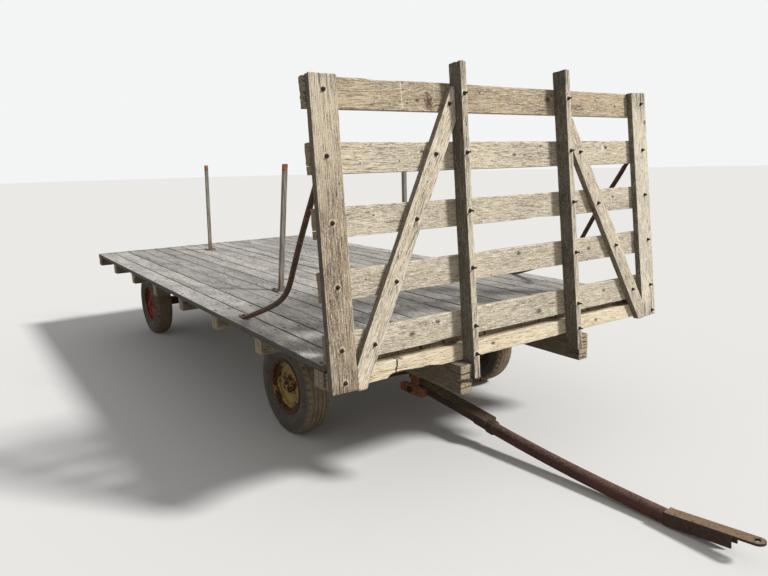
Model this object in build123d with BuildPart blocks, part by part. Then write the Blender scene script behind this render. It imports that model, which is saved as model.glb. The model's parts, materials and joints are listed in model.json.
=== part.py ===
import os
from math import cos, hypot, radians, sin, tan

from build123d import *

os.makedirs("parts", exist_ok=True)

# A four-wheeled farm hay wagon, in millimetres and degrees.
# X runs forward to the tongue, Y to the wagon's left and Z up from the ground.
# The origin is on the ground, below the middle of the whole wagon with its tongue.

# Deck, joists and sills
deck_length = 4877.0
deck_width = 2440.0
plank_count = 17
plank_gap = 4.0
plank_thick = 32.0
joist_size = 89.0
joist_count = 8
sill_width = 76.0
sill_height = 152.0
sill_inner = 420.0
sill_nose = 85.0

# Rack boards
rack_lean = 5.6
board_thick = 38.0
board_width = 138.0
rail_pitch = 284.0
rail_count = 5
rail_lift = 4.0
low_rail_tall = 81.5
end_post_width = 137.0
end_post_drop = 124.0
end_post_rise = 3.0
mid_post_deep = 87.0
mid_post_drop = 205.0
mid_post_rise = 92.0
brace_board = 92.0
diagonal_angle = 27.8
diagonal_middle = 533.0
diagonal_drop = 22.0
diagonal_foot = 6.0
rail_inset = 22.0
fit_gap = 0.3
plank_end_gap = 4.0

# Wheels
tyre_radius = 315.0
tyre_width = 180.0
tyre_wall = 14.0
bead_radius = 168.0
rim_lip = 14.0
rim_width = 140.0
rim_thick = 4.0
disc_thick = 6.0
disc_offset = 18.0
hub_radius = 52.0
track = 1600.0

# Axles and steering
front_axle_back = 1200.0
rear_axle_back = 4400.0
axle_size = 76.0
beam_inset = 120.0
wheel_offset = 110.0
spindle_over = 42.0
kingpin_radius = 14.0
boss_radius = 30.0
boss_height = 100.0
ear_thick = 18.0
ear_gap = 1.0
spindle_radius = 19.0
pin_play = 0.08
steer_rest = 2.9
steer_limit = 28.0
lift_limit = 17.0
swivel_reach = 105.0
arm_reach = 100.0
arm_thick = 14.0
arm_width = 36.0
rod_radius = 11.0
rod_eye = 20.0
rod_eye_tall = 26.0
rod_pin = 8.0
rod_step = 28.0

# Bolsters and reach
reach_size = 64.0
reach_tall = 74.0
bolster_height = 120.0
bolster_wide = 76.0
bolster_half = 565.0
bolster_stake = 12.0
stake_rise = 140.0

# Tongue: a steel channel, then a pipe that has bent upwards in use, then a hitch that is bent up a little more
hinge_reach = 190.0
hinge_pin = 12.0
tongue_angle = 7.0
channel_wide = 98.0
channel_tall = 46.0
channel_wall = 6.0
channel_back = 30.0
channel_length = 650.0
lug_length = 45.0
lug_drop = 28.0
bulkhead = 8.0
collar_wall = 7.0
collar_length = 40.0
pipe_radius = 36.5
pipe_wall = 5.0
pipe_room = 1.5
pipe_start = 540.0
pipe_end = 1790.0
pipe_bend = 5.7
strap_wide = 66.0
strap_thick = 12.0
strap_lead = 20.0
strap_kick = 7.0
strap_long = 415.0
skirt_long = 285.0
skirt_deep = 52.0
skirt_wall = 8.0
hitch_hole = 14.0
hole_back = 33.0

# Pipe braces and deck stakes
brace_radius = 19.0
brace_inset = 70.0
brace_knee = (-530.0, 238.0)
brace_foot = (-1140.0, 19.5)
brace_bend = 330.0
tab_length = 90.0
tab_thick = 8.0
stake_size = 38.0
stake_tall = 895.0
stake_plate = 110.0
stake_plate_thick = 6.0

# Levels
axle_z = tyre_radius
axle_top = axle_z + axle_size / 2
bolster_bottom = axle_top + reach_tall
sill_bottom = bolster_bottom + bolster_height
sill_top = sill_bottom + sill_height
joist_top = sill_top + joist_size
deck_height = joist_top + plank_thick
wheel_y = track / 2
kingpin_y = wheel_y - wheel_offset
channel_top = pipe_radius + pipe_room + channel_wall

# The tongue's line from its hinge. The end of the pipe rests on the ground.
steer = radians(steer_rest)
tongue_side = Vector(-sin(steer), cos(steer), 0)


def slope(down):
    return Vector(cos(steer) * cos(radians(down)), sin(steer) * cos(radians(down)), -sin(radians(down)))


end_angle = tongue_angle - pipe_bend
strap_angle = end_angle - strap_kick
tongue_way, end_way, strap_way = (slope(down) for down in (tongue_angle, end_angle, strap_angle))
tongue_up, end_up, strap_up = (way.cross(tongue_side) for way in (tongue_way, end_way, strap_way))
bend_start = channel_length + collar_length
bend_radius = (pipe_end - bend_start) / radians(pipe_bend)
bend_middle = tongue_way * bend_start + tongue_up * bend_radius
pipe_tip = bend_middle - end_up * bend_radius
strap_foot = pipe_tip + end_way * strap_lead + end_up * pipe_radius
hinge_height = pipe_radius * end_up.Z - pipe_tip.Z
strap_round = strap_wide / 2
round_middle = strap_foot + strap_way * (strap_long - strap_round) - strap_up * strap_thick
tip_reach = swivel_reach + hinge_reach * cos(steer) + round_middle.X + strap_round * hypot(strap_way.X, tongue_side.X)

# Places along the wagon, with the origin half way between tongue tip and deck end
rail_back = board_thick * cos(radians(rack_lean)) + plank_end_gap
front_x = (rail_back + deck_length - front_axle_back - tip_reach) / 2
rack_x = front_x + front_axle_back
rear_x = rack_x - rear_axle_back
deck_front = rack_x - rail_back
deck_rear = deck_front - deck_length
swivel_x = front_x + swivel_reach

lean = radians(rack_lean)
rack_plane = Plane(origin=(rack_x, 0, deck_height), x_dir=(0, 1, 0), z_dir=(cos(lean), 0, sin(lean)))


def save(piece, name):
    piece.part.label = name
    export_step(piece.part, f"parts/{name}.step")


# Deck planks, running lengthwise, side by side
plank_width = (deck_width - (plank_count - 1) * plank_gap) / plank_count
plank_pitch = plank_width + plank_gap
with BuildPart() as deck_planks:
    with BuildSketch(Plane.XY.offset(joist_top)):
        with Locations(((deck_front + deck_rear) / 2, 0)):
            with GridLocations(deck_length, plank_pitch, 1, plank_count):
                Rectangle(deck_length, plank_width)
    extrude(amount=plank_thick)
save(deck_planks, "deck_planks")

# Cross joists, evenly spaced from the rear edge to the rack
joist_front = rack_x - board_thick * cos(lean) + (board_thick * sin(lean) + plank_thick) * tan(lean) - 0.5
joist_front = min(joist_front, deck_front)
joist_pitch = (joist_front - deck_rear - joist_size) / (joist_count - 1)
with BuildPart() as cross_joists:
    with BuildSketch(Plane.XY.offset(sill_top)):
        with Locations(((joist_front + deck_rear) / 2, 0)):
            with GridLocations(joist_pitch, 1, joist_count, 1):
                Rectangle(joist_size, deck_width - 2 * fit_gap)
    extrude(amount=joist_size)
save(cross_joists, "cross_joists")

# Two lengthwise sills, which stand out just ahead of the rack
sill_front = rack_x + sill_nose
sill_length = sill_front - deck_rear
for name, side in (("sill_right", -1), ("sill_left", 1)):
    with BuildPart() as sill:
        with BuildSketch(Plane.XY.offset(sill_bottom)):
            with Locations(((sill_front + deck_rear) / 2, side * (sill_inner + sill_width / 2))):
                Rectangle(sill_length, sill_width)
        extrude(amount=sill_height)
    save(sill, name)

# Rack rails: name, lower edge up the rack, height
rack_half = deck_width / 2
rail_half = rack_half - rail_inset
rail_table = [(f"rail_{rail_count - step}", rail_lift + step * rail_pitch, board_width) for step in range(rail_count)]
low_rail_base = -(deck_height - sill_top) / cos(lean) + board_thick * tan(lean) + 1.0
chip = ((-880.0, 0.0), (-868.0, 17.0), (-815.0, 22.0), (-700.0, 12.0), (-640.0, 14.0), (-560.0, 0.0))
for name, low, tall in rail_table:
    with BuildPart() as rail:
        with BuildSketch(rack_plane.offset(-board_thick)):
            with Locations((0, low + tall / 2)):
                Rectangle(2 * rail_half, tall)
        extrude(amount=board_thick)
    save(rail, name)

# The lowest rail is narrower, with a piece broken out of its lower edge
with BuildPart() as low_rail:
    with BuildSketch(rack_plane.offset(-board_thick)):
        with BuildLine():
            Polyline(
                (-rail_half, low_rail_base),
                *[(y, low_rail_base + rise) for y, rise in chip],
                (rail_half, low_rail_base),
                (rail_half, low_rail_base + low_rail_tall),
                (-rail_half, low_rail_base + low_rail_tall),
                close=True,
            )
        make_face()
    extrude(amount=board_thick)
save(low_rail, f"rail_{rail_count + 1}")

# Rack posts. The end posts lie flat on the rails, and the middle ones stand on edge.
rack_top = rail_lift + (rail_count - 1) * rail_pitch + board_width
end_tilt = {-1: 0.9, 1: 1.8}
mid_tilt = {-1: 1.2, 1: 0.35}


def post_edge(side, base_y, base_v, tilt, v):
    return side * (base_y - (v - base_v) * tan(radians(tilt)))


for name, side in (("post_right_end", -1), ("post_left_end", 1)):
    low, high = -end_post_drop, rack_top + end_post_rise
    outer = [post_edge(side, rack_half, low, end_tilt[side], v) for v in (low, high)]
    inner = [y - side * end_post_width for y in outer]
    with BuildPart() as post:
        with BuildSketch(rack_plane):
            with BuildLine():
                Polyline((outer[0], low), (inner[0], low), (inner[1], high), (outer[1], high), close=True)
            make_face()
        extrude(amount=board_thick)
    save(post, name)

for name, side in (("post_right_middle", -1), ("post_left_middle", 1)):
    low, high = -mid_post_drop, rack_top + mid_post_rise
    outer = [post_edge(side, sill_inner, low, mid_tilt[side], v) for v in (low, high)]
    inner = [y - side * board_thick for y in outer]
    with BuildPart() as post:
        with BuildSketch(rack_plane):
            with BuildLine():
                Polyline((outer[0], low), (inner[0], low), (inner[1], high), (outer[1], high), close=True)
            make_face()
        extrude(amount=mid_post_deep)
    save(post, name)

# Diagonals, flat on the rails and cut to fit between an end post and a middle post
for name, side in (("diagonal_right", -1), ("diagonal_left", 1)):
    low, high = -end_post_drop - diagonal_foot, rack_top - diagonal_drop
    foot = [post_edge(side, rack_half, -end_post_drop, end_tilt[side], v) for v in (low, high)]
    foot = [y - side * (end_post_width + fit_gap) for y in foot]
    head = [post_edge(side, sill_inner, -mid_post_drop, mid_tilt[side], v) for v in (low, high)]
    head = [y + side * fit_gap for y in head]
    outer_edge = post_edge(side, rack_half, -end_post_drop, end_tilt[side], diagonal_middle) - side * end_post_width
    inner_edge = post_edge(side, sill_inner, -mid_post_drop, mid_tilt[side], diagonal_middle)
    with BuildPart() as diagonal:
        with BuildSketch(rack_plane):
            with BuildLine():
                Polyline((foot[0], low), (head[0], low), (head[1], high), (foot[1], high), close=True)
            make_face()
            with Locations(((outer_edge + inner_edge) / 2, diagonal_middle)):
                Rectangle(brace_board, 3 * rack_top, rotation=side * diagonal_angle, mode=Mode.INTERSECT)
        extrude(amount=board_thick)
    save(diagonal, name)

# Bent pipe braces, from the deck near its edge up to the back of the second rail
rail_two = rail_lift + (rail_count - 2) * rail_pitch
top_v = rail_two + 30.0
top_x = rack_x - top_v * sin(lean) - board_thick * cos(lean)
top_z = deck_height + top_v * cos(lean) - board_thick * sin(lean)
for name, side in (("brace_right", -1), ("brace_left", 1)):
    y = side * (rack_half - brace_inset)
    foot = Vector(rack_x + brace_foot[0], y, deck_height + brace_foot[1])
    knee = Vector(rack_x + brace_knee[0], y, deck_height + brace_knee[1])
    head = Vector(top_x - brace_radius / cos(lean) - 1.0, y, top_z)
    with BuildPart() as brace:
        with BuildLine() as route:
            FilletPolyline(foot, knee, head, radius=brace_bend)
        with BuildSketch(Plane(origin=foot, z_dir=knee - foot)):
            Circle(brace_radius)
        sweep(path=route.wires()[0])
        with BuildSketch(Plane.XY.offset(deck_height)):
            with Locations((foot.X - tab_length / 2 + 30.0, y)):
                Rectangle(tab_length, 2 * brace_radius + 8.0)
        extrude(amount=tab_thick)
    save(brace, name)

# Three steel stakes on the deck: how far behind the rack, to the left, and the lean forward and left
stake_table = ((-1775.0, -590.0, 2.0, 4.5), (-1860.0, 600.0, 0.0, 0.0), (-4330.0, -200.0, 0.0, 1.5))
with BuildPart() as deck_stakes:
    for back, left, tip_forward, tip_left in stake_table:
        seat = Plane(origin=(rack_x + back, left, deck_height))
        with BuildSketch(seat):
            Rectangle(stake_plate, stake_plate)
        extrude(amount=stake_plate_thick)
        post_plane = Plane(origin=(rack_x + back, left, deck_height + stake_plate_thick / 2))
        way = Vector(tan(radians(tip_forward)), tan(radians(tip_left)), 1)
        with BuildSketch(post_plane):
            Rectangle(stake_size, stake_size)
        extrude(amount=stake_tall, dir=way)
save(deck_stakes, "deck_stakes")


# Front axle: a beam with an upright boss at each end for the kingpins, and two ears for the swivel pin
beam_low = axle_z - axle_size / 2
boss_low = axle_z - boss_height / 2
swivel_pin = 16.0
ear_width = 90.0
with BuildPart() as front_axle:
    with BuildSketch(Plane.XY.offset(beam_low)):
        with Locations((front_x, 0)):
            Rectangle(axle_size, 2 * kingpin_y)
    extrude(amount=axle_size)
    with BuildSketch(Plane.XY.offset(boss_low)):
        with Locations((front_x, kingpin_y), (front_x, -kingpin_y)):
            Circle(boss_radius)
    extrude(amount=boss_height)
    for level in (beam_low, axle_top - ear_thick):
        with BuildSketch(Plane.XY.offset(level)):
            with Locations((front_x + swivel_reach / 2, 0)):
                Rectangle(swivel_reach, ear_width)
            with Locations((swivel_x, 0)):
                Circle(ear_width / 2)
        extrude(amount=ear_thick)
    with BuildSketch(Plane.XY.offset(boss_low)):
        with Locations((front_x, kingpin_y), (front_x, -kingpin_y)):
            Circle(kingpin_radius + pin_play)
    extrude(amount=boss_height, mode=Mode.SUBTRACT)
    with BuildSketch(Plane.XY.offset(beam_low)):
        with Locations((swivel_x, 0)):
            Circle(swivel_pin + pin_play)
    extrude(amount=axle_size, mode=Mode.SUBTRACT)
save(front_axle, "front_axle")

# Rear axle: a beam with a fixed spindle at each end
rear_beam = wheel_y - beam_inset
spindle_flange = 45.0
flange_plate = 12.0
spindle_end = wheel_y + spindle_over
with BuildPart() as rear_axle:
    with BuildSketch(Plane.XY.offset(beam_low)):
        with Locations((rear_x, 0)):
            Rectangle(axle_size, 2 * rear_beam)
    extrude(amount=axle_size)
    for side in (-1, 1):
        with BuildSketch(Plane(origin=(rear_x, side * rear_beam, axle_z), z_dir=(0, side, 0))):
            Circle(spindle_flange)
        extrude(amount=flange_plate)
    with BuildSketch(Plane(origin=(rear_x, 0, axle_z), z_dir=(0, 1, 0))):
        Circle(spindle_radius)
    extrude(amount=spindle_end, both=True)
save(rear_axle, "rear_axle")

# Bolsters, which carry the sills. Sloping legs stand on the axle, and flat stakes hold the sills.
leg_top = (330.0, 470.0)
leg_foot = (240.0, 400.0)
pedestal = 90.0
stake_inner = sill_inner + sill_width + fit_gap
for name, x in (("front_bolster", front_x), ("rear_bolster", rear_x)):
    with BuildPart() as bolster:
        with BuildSketch(Plane.YZ.offset(x - bolster_wide / 2)):
            with Locations((0, (bolster_bottom + sill_bottom) / 2)):
                Rectangle(2 * bolster_half, bolster_height)
            for side in (-1, 1):
                with BuildLine():
                    Polyline(
                        (side * leg_foot[0], axle_top),
                        (side * leg_foot[1], axle_top),
                        (side * leg_top[1], bolster_bottom),
                        (side * leg_top[0], bolster_bottom),
                        close=True,
                    )
                make_face()
                with Locations((side * (reach_size / 2 + fit_gap + pedestal / 2), (axle_top + bolster_bottom) / 2)):
                    Rectangle(pedestal, bolster_bottom - axle_top)
                with Locations((side * (stake_inner + bolster_stake / 2), sill_bottom + stake_rise / 2)):
                    Rectangle(bolster_stake, stake_rise)
        extrude(amount=bolster_wide)
    save(bolster, name)

# Reach pole: a square tube from axle to axle, under the bolsters
reach_wall = 6.0
reach_tail = 160.0
reach_start = rear_x - reach_tail
reach_long = front_x + axle_size / 2 - reach_start
with BuildPart() as reach_pole:
    with BuildSketch(Plane.YZ.offset(reach_start)):
        with Locations((0, (axle_top + bolster_bottom) / 2)):
            Rectangle(reach_size, reach_tall)
            Rectangle(reach_size - 2 * reach_wall, reach_tall - 2 * reach_wall, mode=Mode.SUBTRACT)
    extrude(amount=reach_long)
save(reach_pole, "reach_pole")

# Hounds: flat bars that brace each axle to the reach pole
hound_reach = 640.0
hound_y = 330.0
hound_bar = 12.0
hound_low = axle_top - 24.0
hound_tall = 66.0
for name, x, way in (("front_hounds", front_x, -1), ("rear_hounds", rear_x, 1)):
    with BuildPart() as hounds:
        with BuildSketch(Plane.XY.offset(hound_low)):
            for side in (-1, 1):
                start = x + way * axle_size / 2
                slant = hound_bar * hound_reach / (hound_y - reach_size / 2)
                with BuildLine():
                    Polyline(
                        (start, side * (hound_y - hound_bar)),
                        (start, side * hound_y),
                        (x + way * hound_reach, side * reach_size / 2),
                        (x + way * (hound_reach - slant), side * reach_size / 2),
                        close=True,
                    )
                make_face()
        extrude(amount=hound_tall)
    save(hounds, name)

# Drawbar swivel: a barrel on its upright pin, a plate forward, a steering pin below, and two cheeks that come down
# to thick bars, which carry the tongue's hinge pin
barrel_gap = ear_gap
barrel_low = beam_low + ear_thick + barrel_gap
barrel_high = axle_top - ear_thick - barrel_gap
barrel_radius = 34.0
pin_over = 14.0
plate_low = barrel_low + 6.0
plate_thick = 14.0
cheek_thick = 12.0
cheek_inner = channel_wide / 2 + 1.0
cheek_back = 158.0
cheek_front = hinge_reach + 42.0
bar_wide = 44.0
bar_back = 85.0
bar_front = 310.0
bar_low = hinge_height - 30.0
bar_high = hinge_height + 22.0
rod_high_z = plate_low - 7.0 - rod_eye_tall / 2
rod_low_z = rod_high_z - rod_step
cheek_wide = 2 * (cheek_inner + cheek_thick)
bar_out = cheek_inner + bar_wide


def turned(x, y, z):
    return Plane(origin=(x, y, z), x_dir=(cos(steer), sin(steer), 0))


with BuildPart() as drawbar_swivel:
    with BuildSketch(turned(swivel_x, 0, barrel_low)):
        Circle(barrel_radius)
    extrude(amount=barrel_high - barrel_low)
    with BuildSketch(turned(swivel_x, 0, beam_low - pin_over)):
        Circle(swivel_pin)
    extrude(amount=axle_size + 2 * pin_over)
    with BuildSketch(turned(swivel_x, 0, plate_low)):
        with Locations((cheek_front / 2, 0)):
            Rectangle(cheek_front, 2 * barrel_radius)
        with Locations(((cheek_back + cheek_front) / 2, 0)):
            Rectangle(cheek_front - cheek_back, cheek_wide)
    extrude(amount=plate_thick)
    with BuildSketch(turned(swivel_x, 0, bar_high)):
        for side in (-1, 1):
            with Locations(((cheek_back + cheek_front) / 2, side * (cheek_inner + cheek_thick / 2))):
                Rectangle(cheek_front - cheek_back, cheek_thick)
    extrude(amount=plate_low - bar_high)
    with BuildSketch(turned(swivel_x, 0, bar_low)):
        for side in (-1, 1):
            with Locations(((bar_back + bar_front) / 2, side * (cheek_inner + bar_wide / 2))):
                Rectangle(bar_front - bar_back, bar_wide)
    extrude(amount=bar_high - bar_low)
    with BuildSketch(turned(swivel_x, 0, rod_low_z - rod_eye_tall / 2 - 4.0)):
        with Locations((arm_reach, 0)):
            Circle(rod_pin)
    extrude(amount=plate_low - rod_low_z + rod_eye_tall / 2 + 4.0)
    hinge = Vector(swivel_x + hinge_reach * cos(steer), hinge_reach * sin(steer), hinge_height)
    with BuildSketch(Plane(origin=hinge, z_dir=tongue_side)):
        Circle(hinge_pin)
    extrude(amount=bar_out + 8.0, both=True)
save(drawbar_swivel, "drawbar_swivel")

# Tongue channel, open below, with deeper lugs at the hinge pin and a bulkhead and a collar that hold the pipe
channel_inner = channel_wide - 2 * channel_wall


def along_tongue(reach):
    return Plane(origin=hinge + tongue_way * reach, x_dir=tongue_side, z_dir=tongue_way)


with BuildPart() as tongue_channel:
    for start, end, low in (
        (-channel_back, lug_length, -lug_drop),
        (-channel_back, channel_length, channel_top - channel_tall),
    ):
        with BuildSketch(along_tongue(start)):
            with Locations((0, (channel_top + low) / 2)):
                Rectangle(channel_wide, channel_top - low)
            with Locations((0, (channel_top + low) / 2 - channel_wall)):
                Rectangle(channel_inner, channel_top - low, mode=Mode.SUBTRACT)
        extrude(amount=end - start)
    for start in (pipe_start + bulkhead, channel_length - bulkhead):
        with BuildSketch(along_tongue(start)):
            with Locations((0, channel_top - channel_tall / 2)):
                Rectangle(channel_inner, channel_tall)
            Circle(pipe_radius, mode=Mode.SUBTRACT)
        extrude(amount=bulkhead)
    with BuildSketch(along_tongue(channel_length)):
        Circle(pipe_radius + collar_wall)
        Circle(pipe_radius, mode=Mode.SUBTRACT)
    extrude(amount=collar_length)
    with BuildSketch(Plane(origin=hinge, z_dir=tongue_side)):
        Circle(hinge_pin + pin_play)
    extrude(amount=channel_wide, both=True, mode=Mode.SUBTRACT)
save(tongue_channel, "tongue_channel")

# Tongue pipe: straight as far as the collar, then bent evenly to its end
bend_half = slope(tongue_angle - pipe_bend / 2).cross(tongue_side)
bend_points = [hinge + bend_middle - up * bend_radius for up in (tongue_up, bend_half, end_up)]
with BuildPart() as tongue_pipe:
    with BuildLine() as pipe_line:
        Line(hinge + tongue_way * pipe_start, bend_points[0])
        ThreePointArc(*bend_points)
    with BuildSketch(along_tongue(pipe_start)):
        Circle(pipe_radius)
        Circle(pipe_radius - pipe_wall, mode=Mode.SUBTRACT)
    sweep(path=pipe_line.wires()[0])
save(tongue_pipe, "tongue_pipe")


# The hitch starts at the end of the pipe. This is its outline from the side, between two depths below its top.
def hitch_outline(high, low, back, long):
    kick = radians(strap_kick)
    kinks = [(strap_lead + depth * tan(kick / 2), pipe_radius - depth) for depth in (high, low)]
    front, lift = strap_lead + long * cos(kick), pipe_radius + long * sin(kick)
    tips = [(front + depth * sin(kick), lift - depth * cos(kick)) for depth in (high, low)]
    return [(back, pipe_radius - high), kinks[0], tips[0], tips[1], kinks[1], (back, pipe_radius - low)]


hitch_side = Plane(origin=hinge + pipe_tip, x_dir=end_way, z_dir=tongue_side * -1)
skirt_low = strap_thick + skirt_deep
with BuildPart() as strap:
    with BuildSketch(hitch_side):
        with BuildLine():
            Polyline(*hitch_outline(0, strap_thick, 0, strap_long), close=True)
        make_face()
    extrude(amount=strap_round, both=True)
    hole_middle = hinge + strap_foot + strap_way * (strap_long - hole_back)
    with BuildSketch(Plane(origin=hole_middle, x_dir=strap_way, z_dir=strap_up)):
        Circle(hitch_hole)
    extrude(amount=2 * strap_thick, both=True, mode=Mode.SUBTRACT)
    corners = strap.edges().filter_by(lambda edge: abs(edge.length - strap_thick) < 0.01)
    corners = corners.sort_by(lambda edge: (edge.center() - hinge).dot(tongue_way))[-2:]
    fillet(corners, strap_round - 0.5)
save(strap, "hitch_strap_upper")

# The lower strap is folded down at both sides, as a shorter channel below the upper one
with BuildPart() as skirt:
    with BuildSketch(hitch_side):
        with BuildLine():
            Polyline(*hitch_outline(strap_thick, skirt_low, 0, skirt_long), close=True)
        make_face()
    extrude(amount=strap_round, both=True)
    with BuildSketch(hitch_side):
        with BuildLine():
            Polyline(*hitch_outline(strap_thick + skirt_wall, 2 * skirt_low, -1.0, skirt_long + 1.0), close=True)
        make_face()
    extrude(amount=strap_round - skirt_wall, both=True, mode=Mode.SUBTRACT)
save(skirt, "hitch_strap_lower")

# Knuckles: a yoke round the axle's boss, the kingpin, a spindle and a steering arm that points forward
yoke_half = 30.0
web_inner = 37.0
web_outer = 54.0
ear_low = boss_low - ear_gap - ear_thick
ear_high = boss_low + boss_height + ear_gap
yoke_tall = ear_high + ear_thick - ear_low
arm_pin_top = rod_high_z + rod_eye_tall / 2 + 3.0
spindle_long = wheel_offset + spindle_over
for name, side in (("knuckle_right", -1), ("knuckle_left", 1)):
    kingpin = (front_x, side * kingpin_y)
    with BuildPart() as knuckle:
        for level in (ear_low, ear_high):
            with BuildSketch(turned(*kingpin, level)):
                Circle(yoke_half)
                with Locations((0, side * web_outer / 2)):
                    Rectangle(2 * yoke_half, web_outer)
            extrude(amount=ear_thick)
        with BuildSketch(turned(*kingpin, ear_low)):
            with Locations((0, side * (web_inner + web_outer) / 2)):
                Rectangle(2 * yoke_half, web_outer - web_inner)
        extrude(amount=yoke_tall)
        with BuildSketch(turned(*kingpin, ear_low)):
            Circle(kingpin_radius)
        extrude(amount=yoke_tall)
        with BuildSketch(turned(*kingpin, ear_low)):
            with Locations((arm_reach / 2, 0)):
                Rectangle(arm_reach, arm_width)
            with Locations((arm_reach, 0)):
                Circle(arm_width / 2)
        extrude(amount=ear_thick)
        with BuildSketch(turned(*kingpin, ear_low)):
            with Locations((arm_reach, 0)):
                Circle(rod_pin)
        extrude(amount=arm_pin_top - ear_low)
        outward = tongue_side * side
        with BuildSketch(Plane(origin=Vector(*kingpin, axle_z) + outward * web_inner, z_dir=outward)):
            Circle(spindle_radius)
        extrude(amount=spindle_long - web_inner)
    save(knuckle, name)

# Tie rods, from the steering pin under the swivel to each knuckle's arm
arm = Vector(arm_reach * cos(steer), arm_reach * sin(steer), 0)
for name, side, level in (("tie_rod_right", -1, rod_high_z), ("tie_rod_left", 1, rod_low_z)):
    inner_eye = Vector(swivel_x, 0, level) + arm
    outer_eye = Vector(front_x, side * kingpin_y, rod_high_z) + arm
    with BuildPart() as tie_rod:
        for eye in (inner_eye, outer_eye):
            with BuildSketch(Plane(origin=eye)):
                Circle(rod_eye)
            extrude(amount=rod_eye_tall / 2, both=True)
        with BuildSketch(Plane(origin=inner_eye, z_dir=outer_eye - inner_eye)):
            Circle(rod_radius)
        extrude(amount=(outer_eye - inner_eye).length)
        for eye in (inner_eye, outer_eye):
            with BuildSketch(Plane(origin=eye)):
                Circle(rod_pin + pin_play)
            extrude(amount=rod_eye_tall, both=True, mode=Mode.SUBTRACT)
    save(tie_rod, name)

# Wheels. Each profile is drawn with x outward along the axle and y away from it, and revolved.
bead_half = rim_width / 2 - rim_thick
bead_foot = bead_radius + fit_gap
bead_top = bead_radius + rim_lip + 4.0
bead_toe = bead_half - tyre_wall
tyre_half = tyre_width / 2
shoulder = (tyre_half - 16.0, tyre_radius - 16.0)
inner_shoulder = (shoulder[0] - tyre_wall, shoulder[1] - tyre_wall)
belly = (bead_radius + tyre_radius) / 2
well = 22.0
hub_inner = -46.0
hub_outer = 50.0
flange_radius = 78.0
flange_thick = 9.0
barrel = 40.0
disc_hole = barrel + fit_gap
cap_radius = 27.0
cap_long = 26.0
wheel_table = (
    ("front_right", front_x, -1, steer),
    ("front_left", front_x, 1, steer),
    ("rear_right", rear_x, -1, 0.0),
    ("rear_left", rear_x, 1, 0.0),
)
for corner, x, side, turn in wheel_table:
    outward = Vector(-sin(turn), cos(turn), 0) * side
    if turn:
        centre = Vector(x, side * kingpin_y, axle_z) + outward * (wheel_y - kingpin_y)
    else:
        centre = Vector(x, side * wheel_y, axle_z)
    profile = Plane(origin=centre, x_dir=outward, z_dir=outward.cross(Vector(0, 0, 1)))
    spin = Axis(centre, outward)

    with BuildPart() as tyre:
        with BuildSketch(profile):
            with BuildLine():
                Line((-bead_half, bead_foot), (-bead_half, bead_top))
                ThreePointArc((-bead_half, bead_top), (-tyre_half, belly), (-shoulder[0], shoulder[1]))
                ThreePointArc((-shoulder[0], shoulder[1]), (0, tyre_radius), shoulder)
                ThreePointArc(shoulder, (tyre_half, belly), (bead_half, bead_top))
                Polyline(
                    (bead_half, bead_top),
                    (bead_half, bead_foot),
                    (bead_toe, bead_foot),
                    (tyre_half - tyre_wall, belly),
                    inner_shoulder,
                    (-inner_shoulder[0], inner_shoulder[1]),
                    (tyre_wall - tyre_half, belly),
                    (-bead_toe, bead_foot),
                    (-bead_half, bead_foot),
                )
            make_face()
        revolve(axis=spin)
    save(tyre, f"tyre_{corner}")

    # The rim has a lip each side, a bead seat inside each lip and a deep well, and the disc closes it
    seat = bead_radius
    base = bead_radius - rim_thick
    with BuildPart() as rim:
        with BuildSketch(profile):
            with BuildLine():
                Polyline(
                    (-rim_width / 2, seat + rim_lip),
                    (-bead_half, seat + rim_lip),
                    (-bead_half, seat),
                    (-bead_half + 26.0, seat),
                    (-bead_half + 32.0, seat - well),
                    (bead_half - 32.0, seat - well),
                    (bead_half - 26.0, seat),
                    (bead_half, seat),
                    (bead_half, seat + rim_lip),
                    (rim_width / 2, seat + rim_lip),
                    (rim_width / 2, base),
                    (bead_half - 23.0, base),
                    (bead_half - 29.0, base - well),
                    (disc_offset, base - well),
                    (disc_offset + 4.0, flange_radius + 24.0),
                    (disc_offset + disc_thick, flange_radius),
                    (disc_offset + disc_thick, disc_hole),
                    (disc_offset, disc_hole),
                    (disc_offset, flange_radius),
                    (disc_offset - 2.0, flange_radius + 24.0),
                    (disc_offset - disc_thick, base - well),
                    (29.0 - bead_half, base - well),
                    (23.0 - bead_half, base),
                    (-rim_width / 2, base),
                    close=True,
                )
            make_face()
        revolve(axis=spin)
    save(rim, f"rim_{corner}")

    with BuildPart() as hub:
        with BuildSketch(profile):
            with BuildLine():
                Polyline(
                    (hub_inner, spindle_radius + pin_play),
                    (hub_inner, barrel),
                    (disc_offset - flange_thick, barrel),
                    (disc_offset - flange_thick, flange_radius),
                    (disc_offset, flange_radius),
                    (disc_offset, barrel),
                    (hub_outer, barrel - 6.0),
                    (hub_outer, cap_radius),
                    (hub_outer + cap_long - 6.0, cap_radius),
                    (hub_outer + cap_long, cap_radius - 8.0),
                    (hub_outer + cap_long, 0),
                    (hub_outer + cap_long - 4.0, 0),
                    (hub_outer + cap_long - 4.0, spindle_radius + pin_play),
                    close=True,
                )
            make_face()
        revolve(axis=spin)
    save(hub, f"hub_{corner}")
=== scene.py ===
import math
import random

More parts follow.
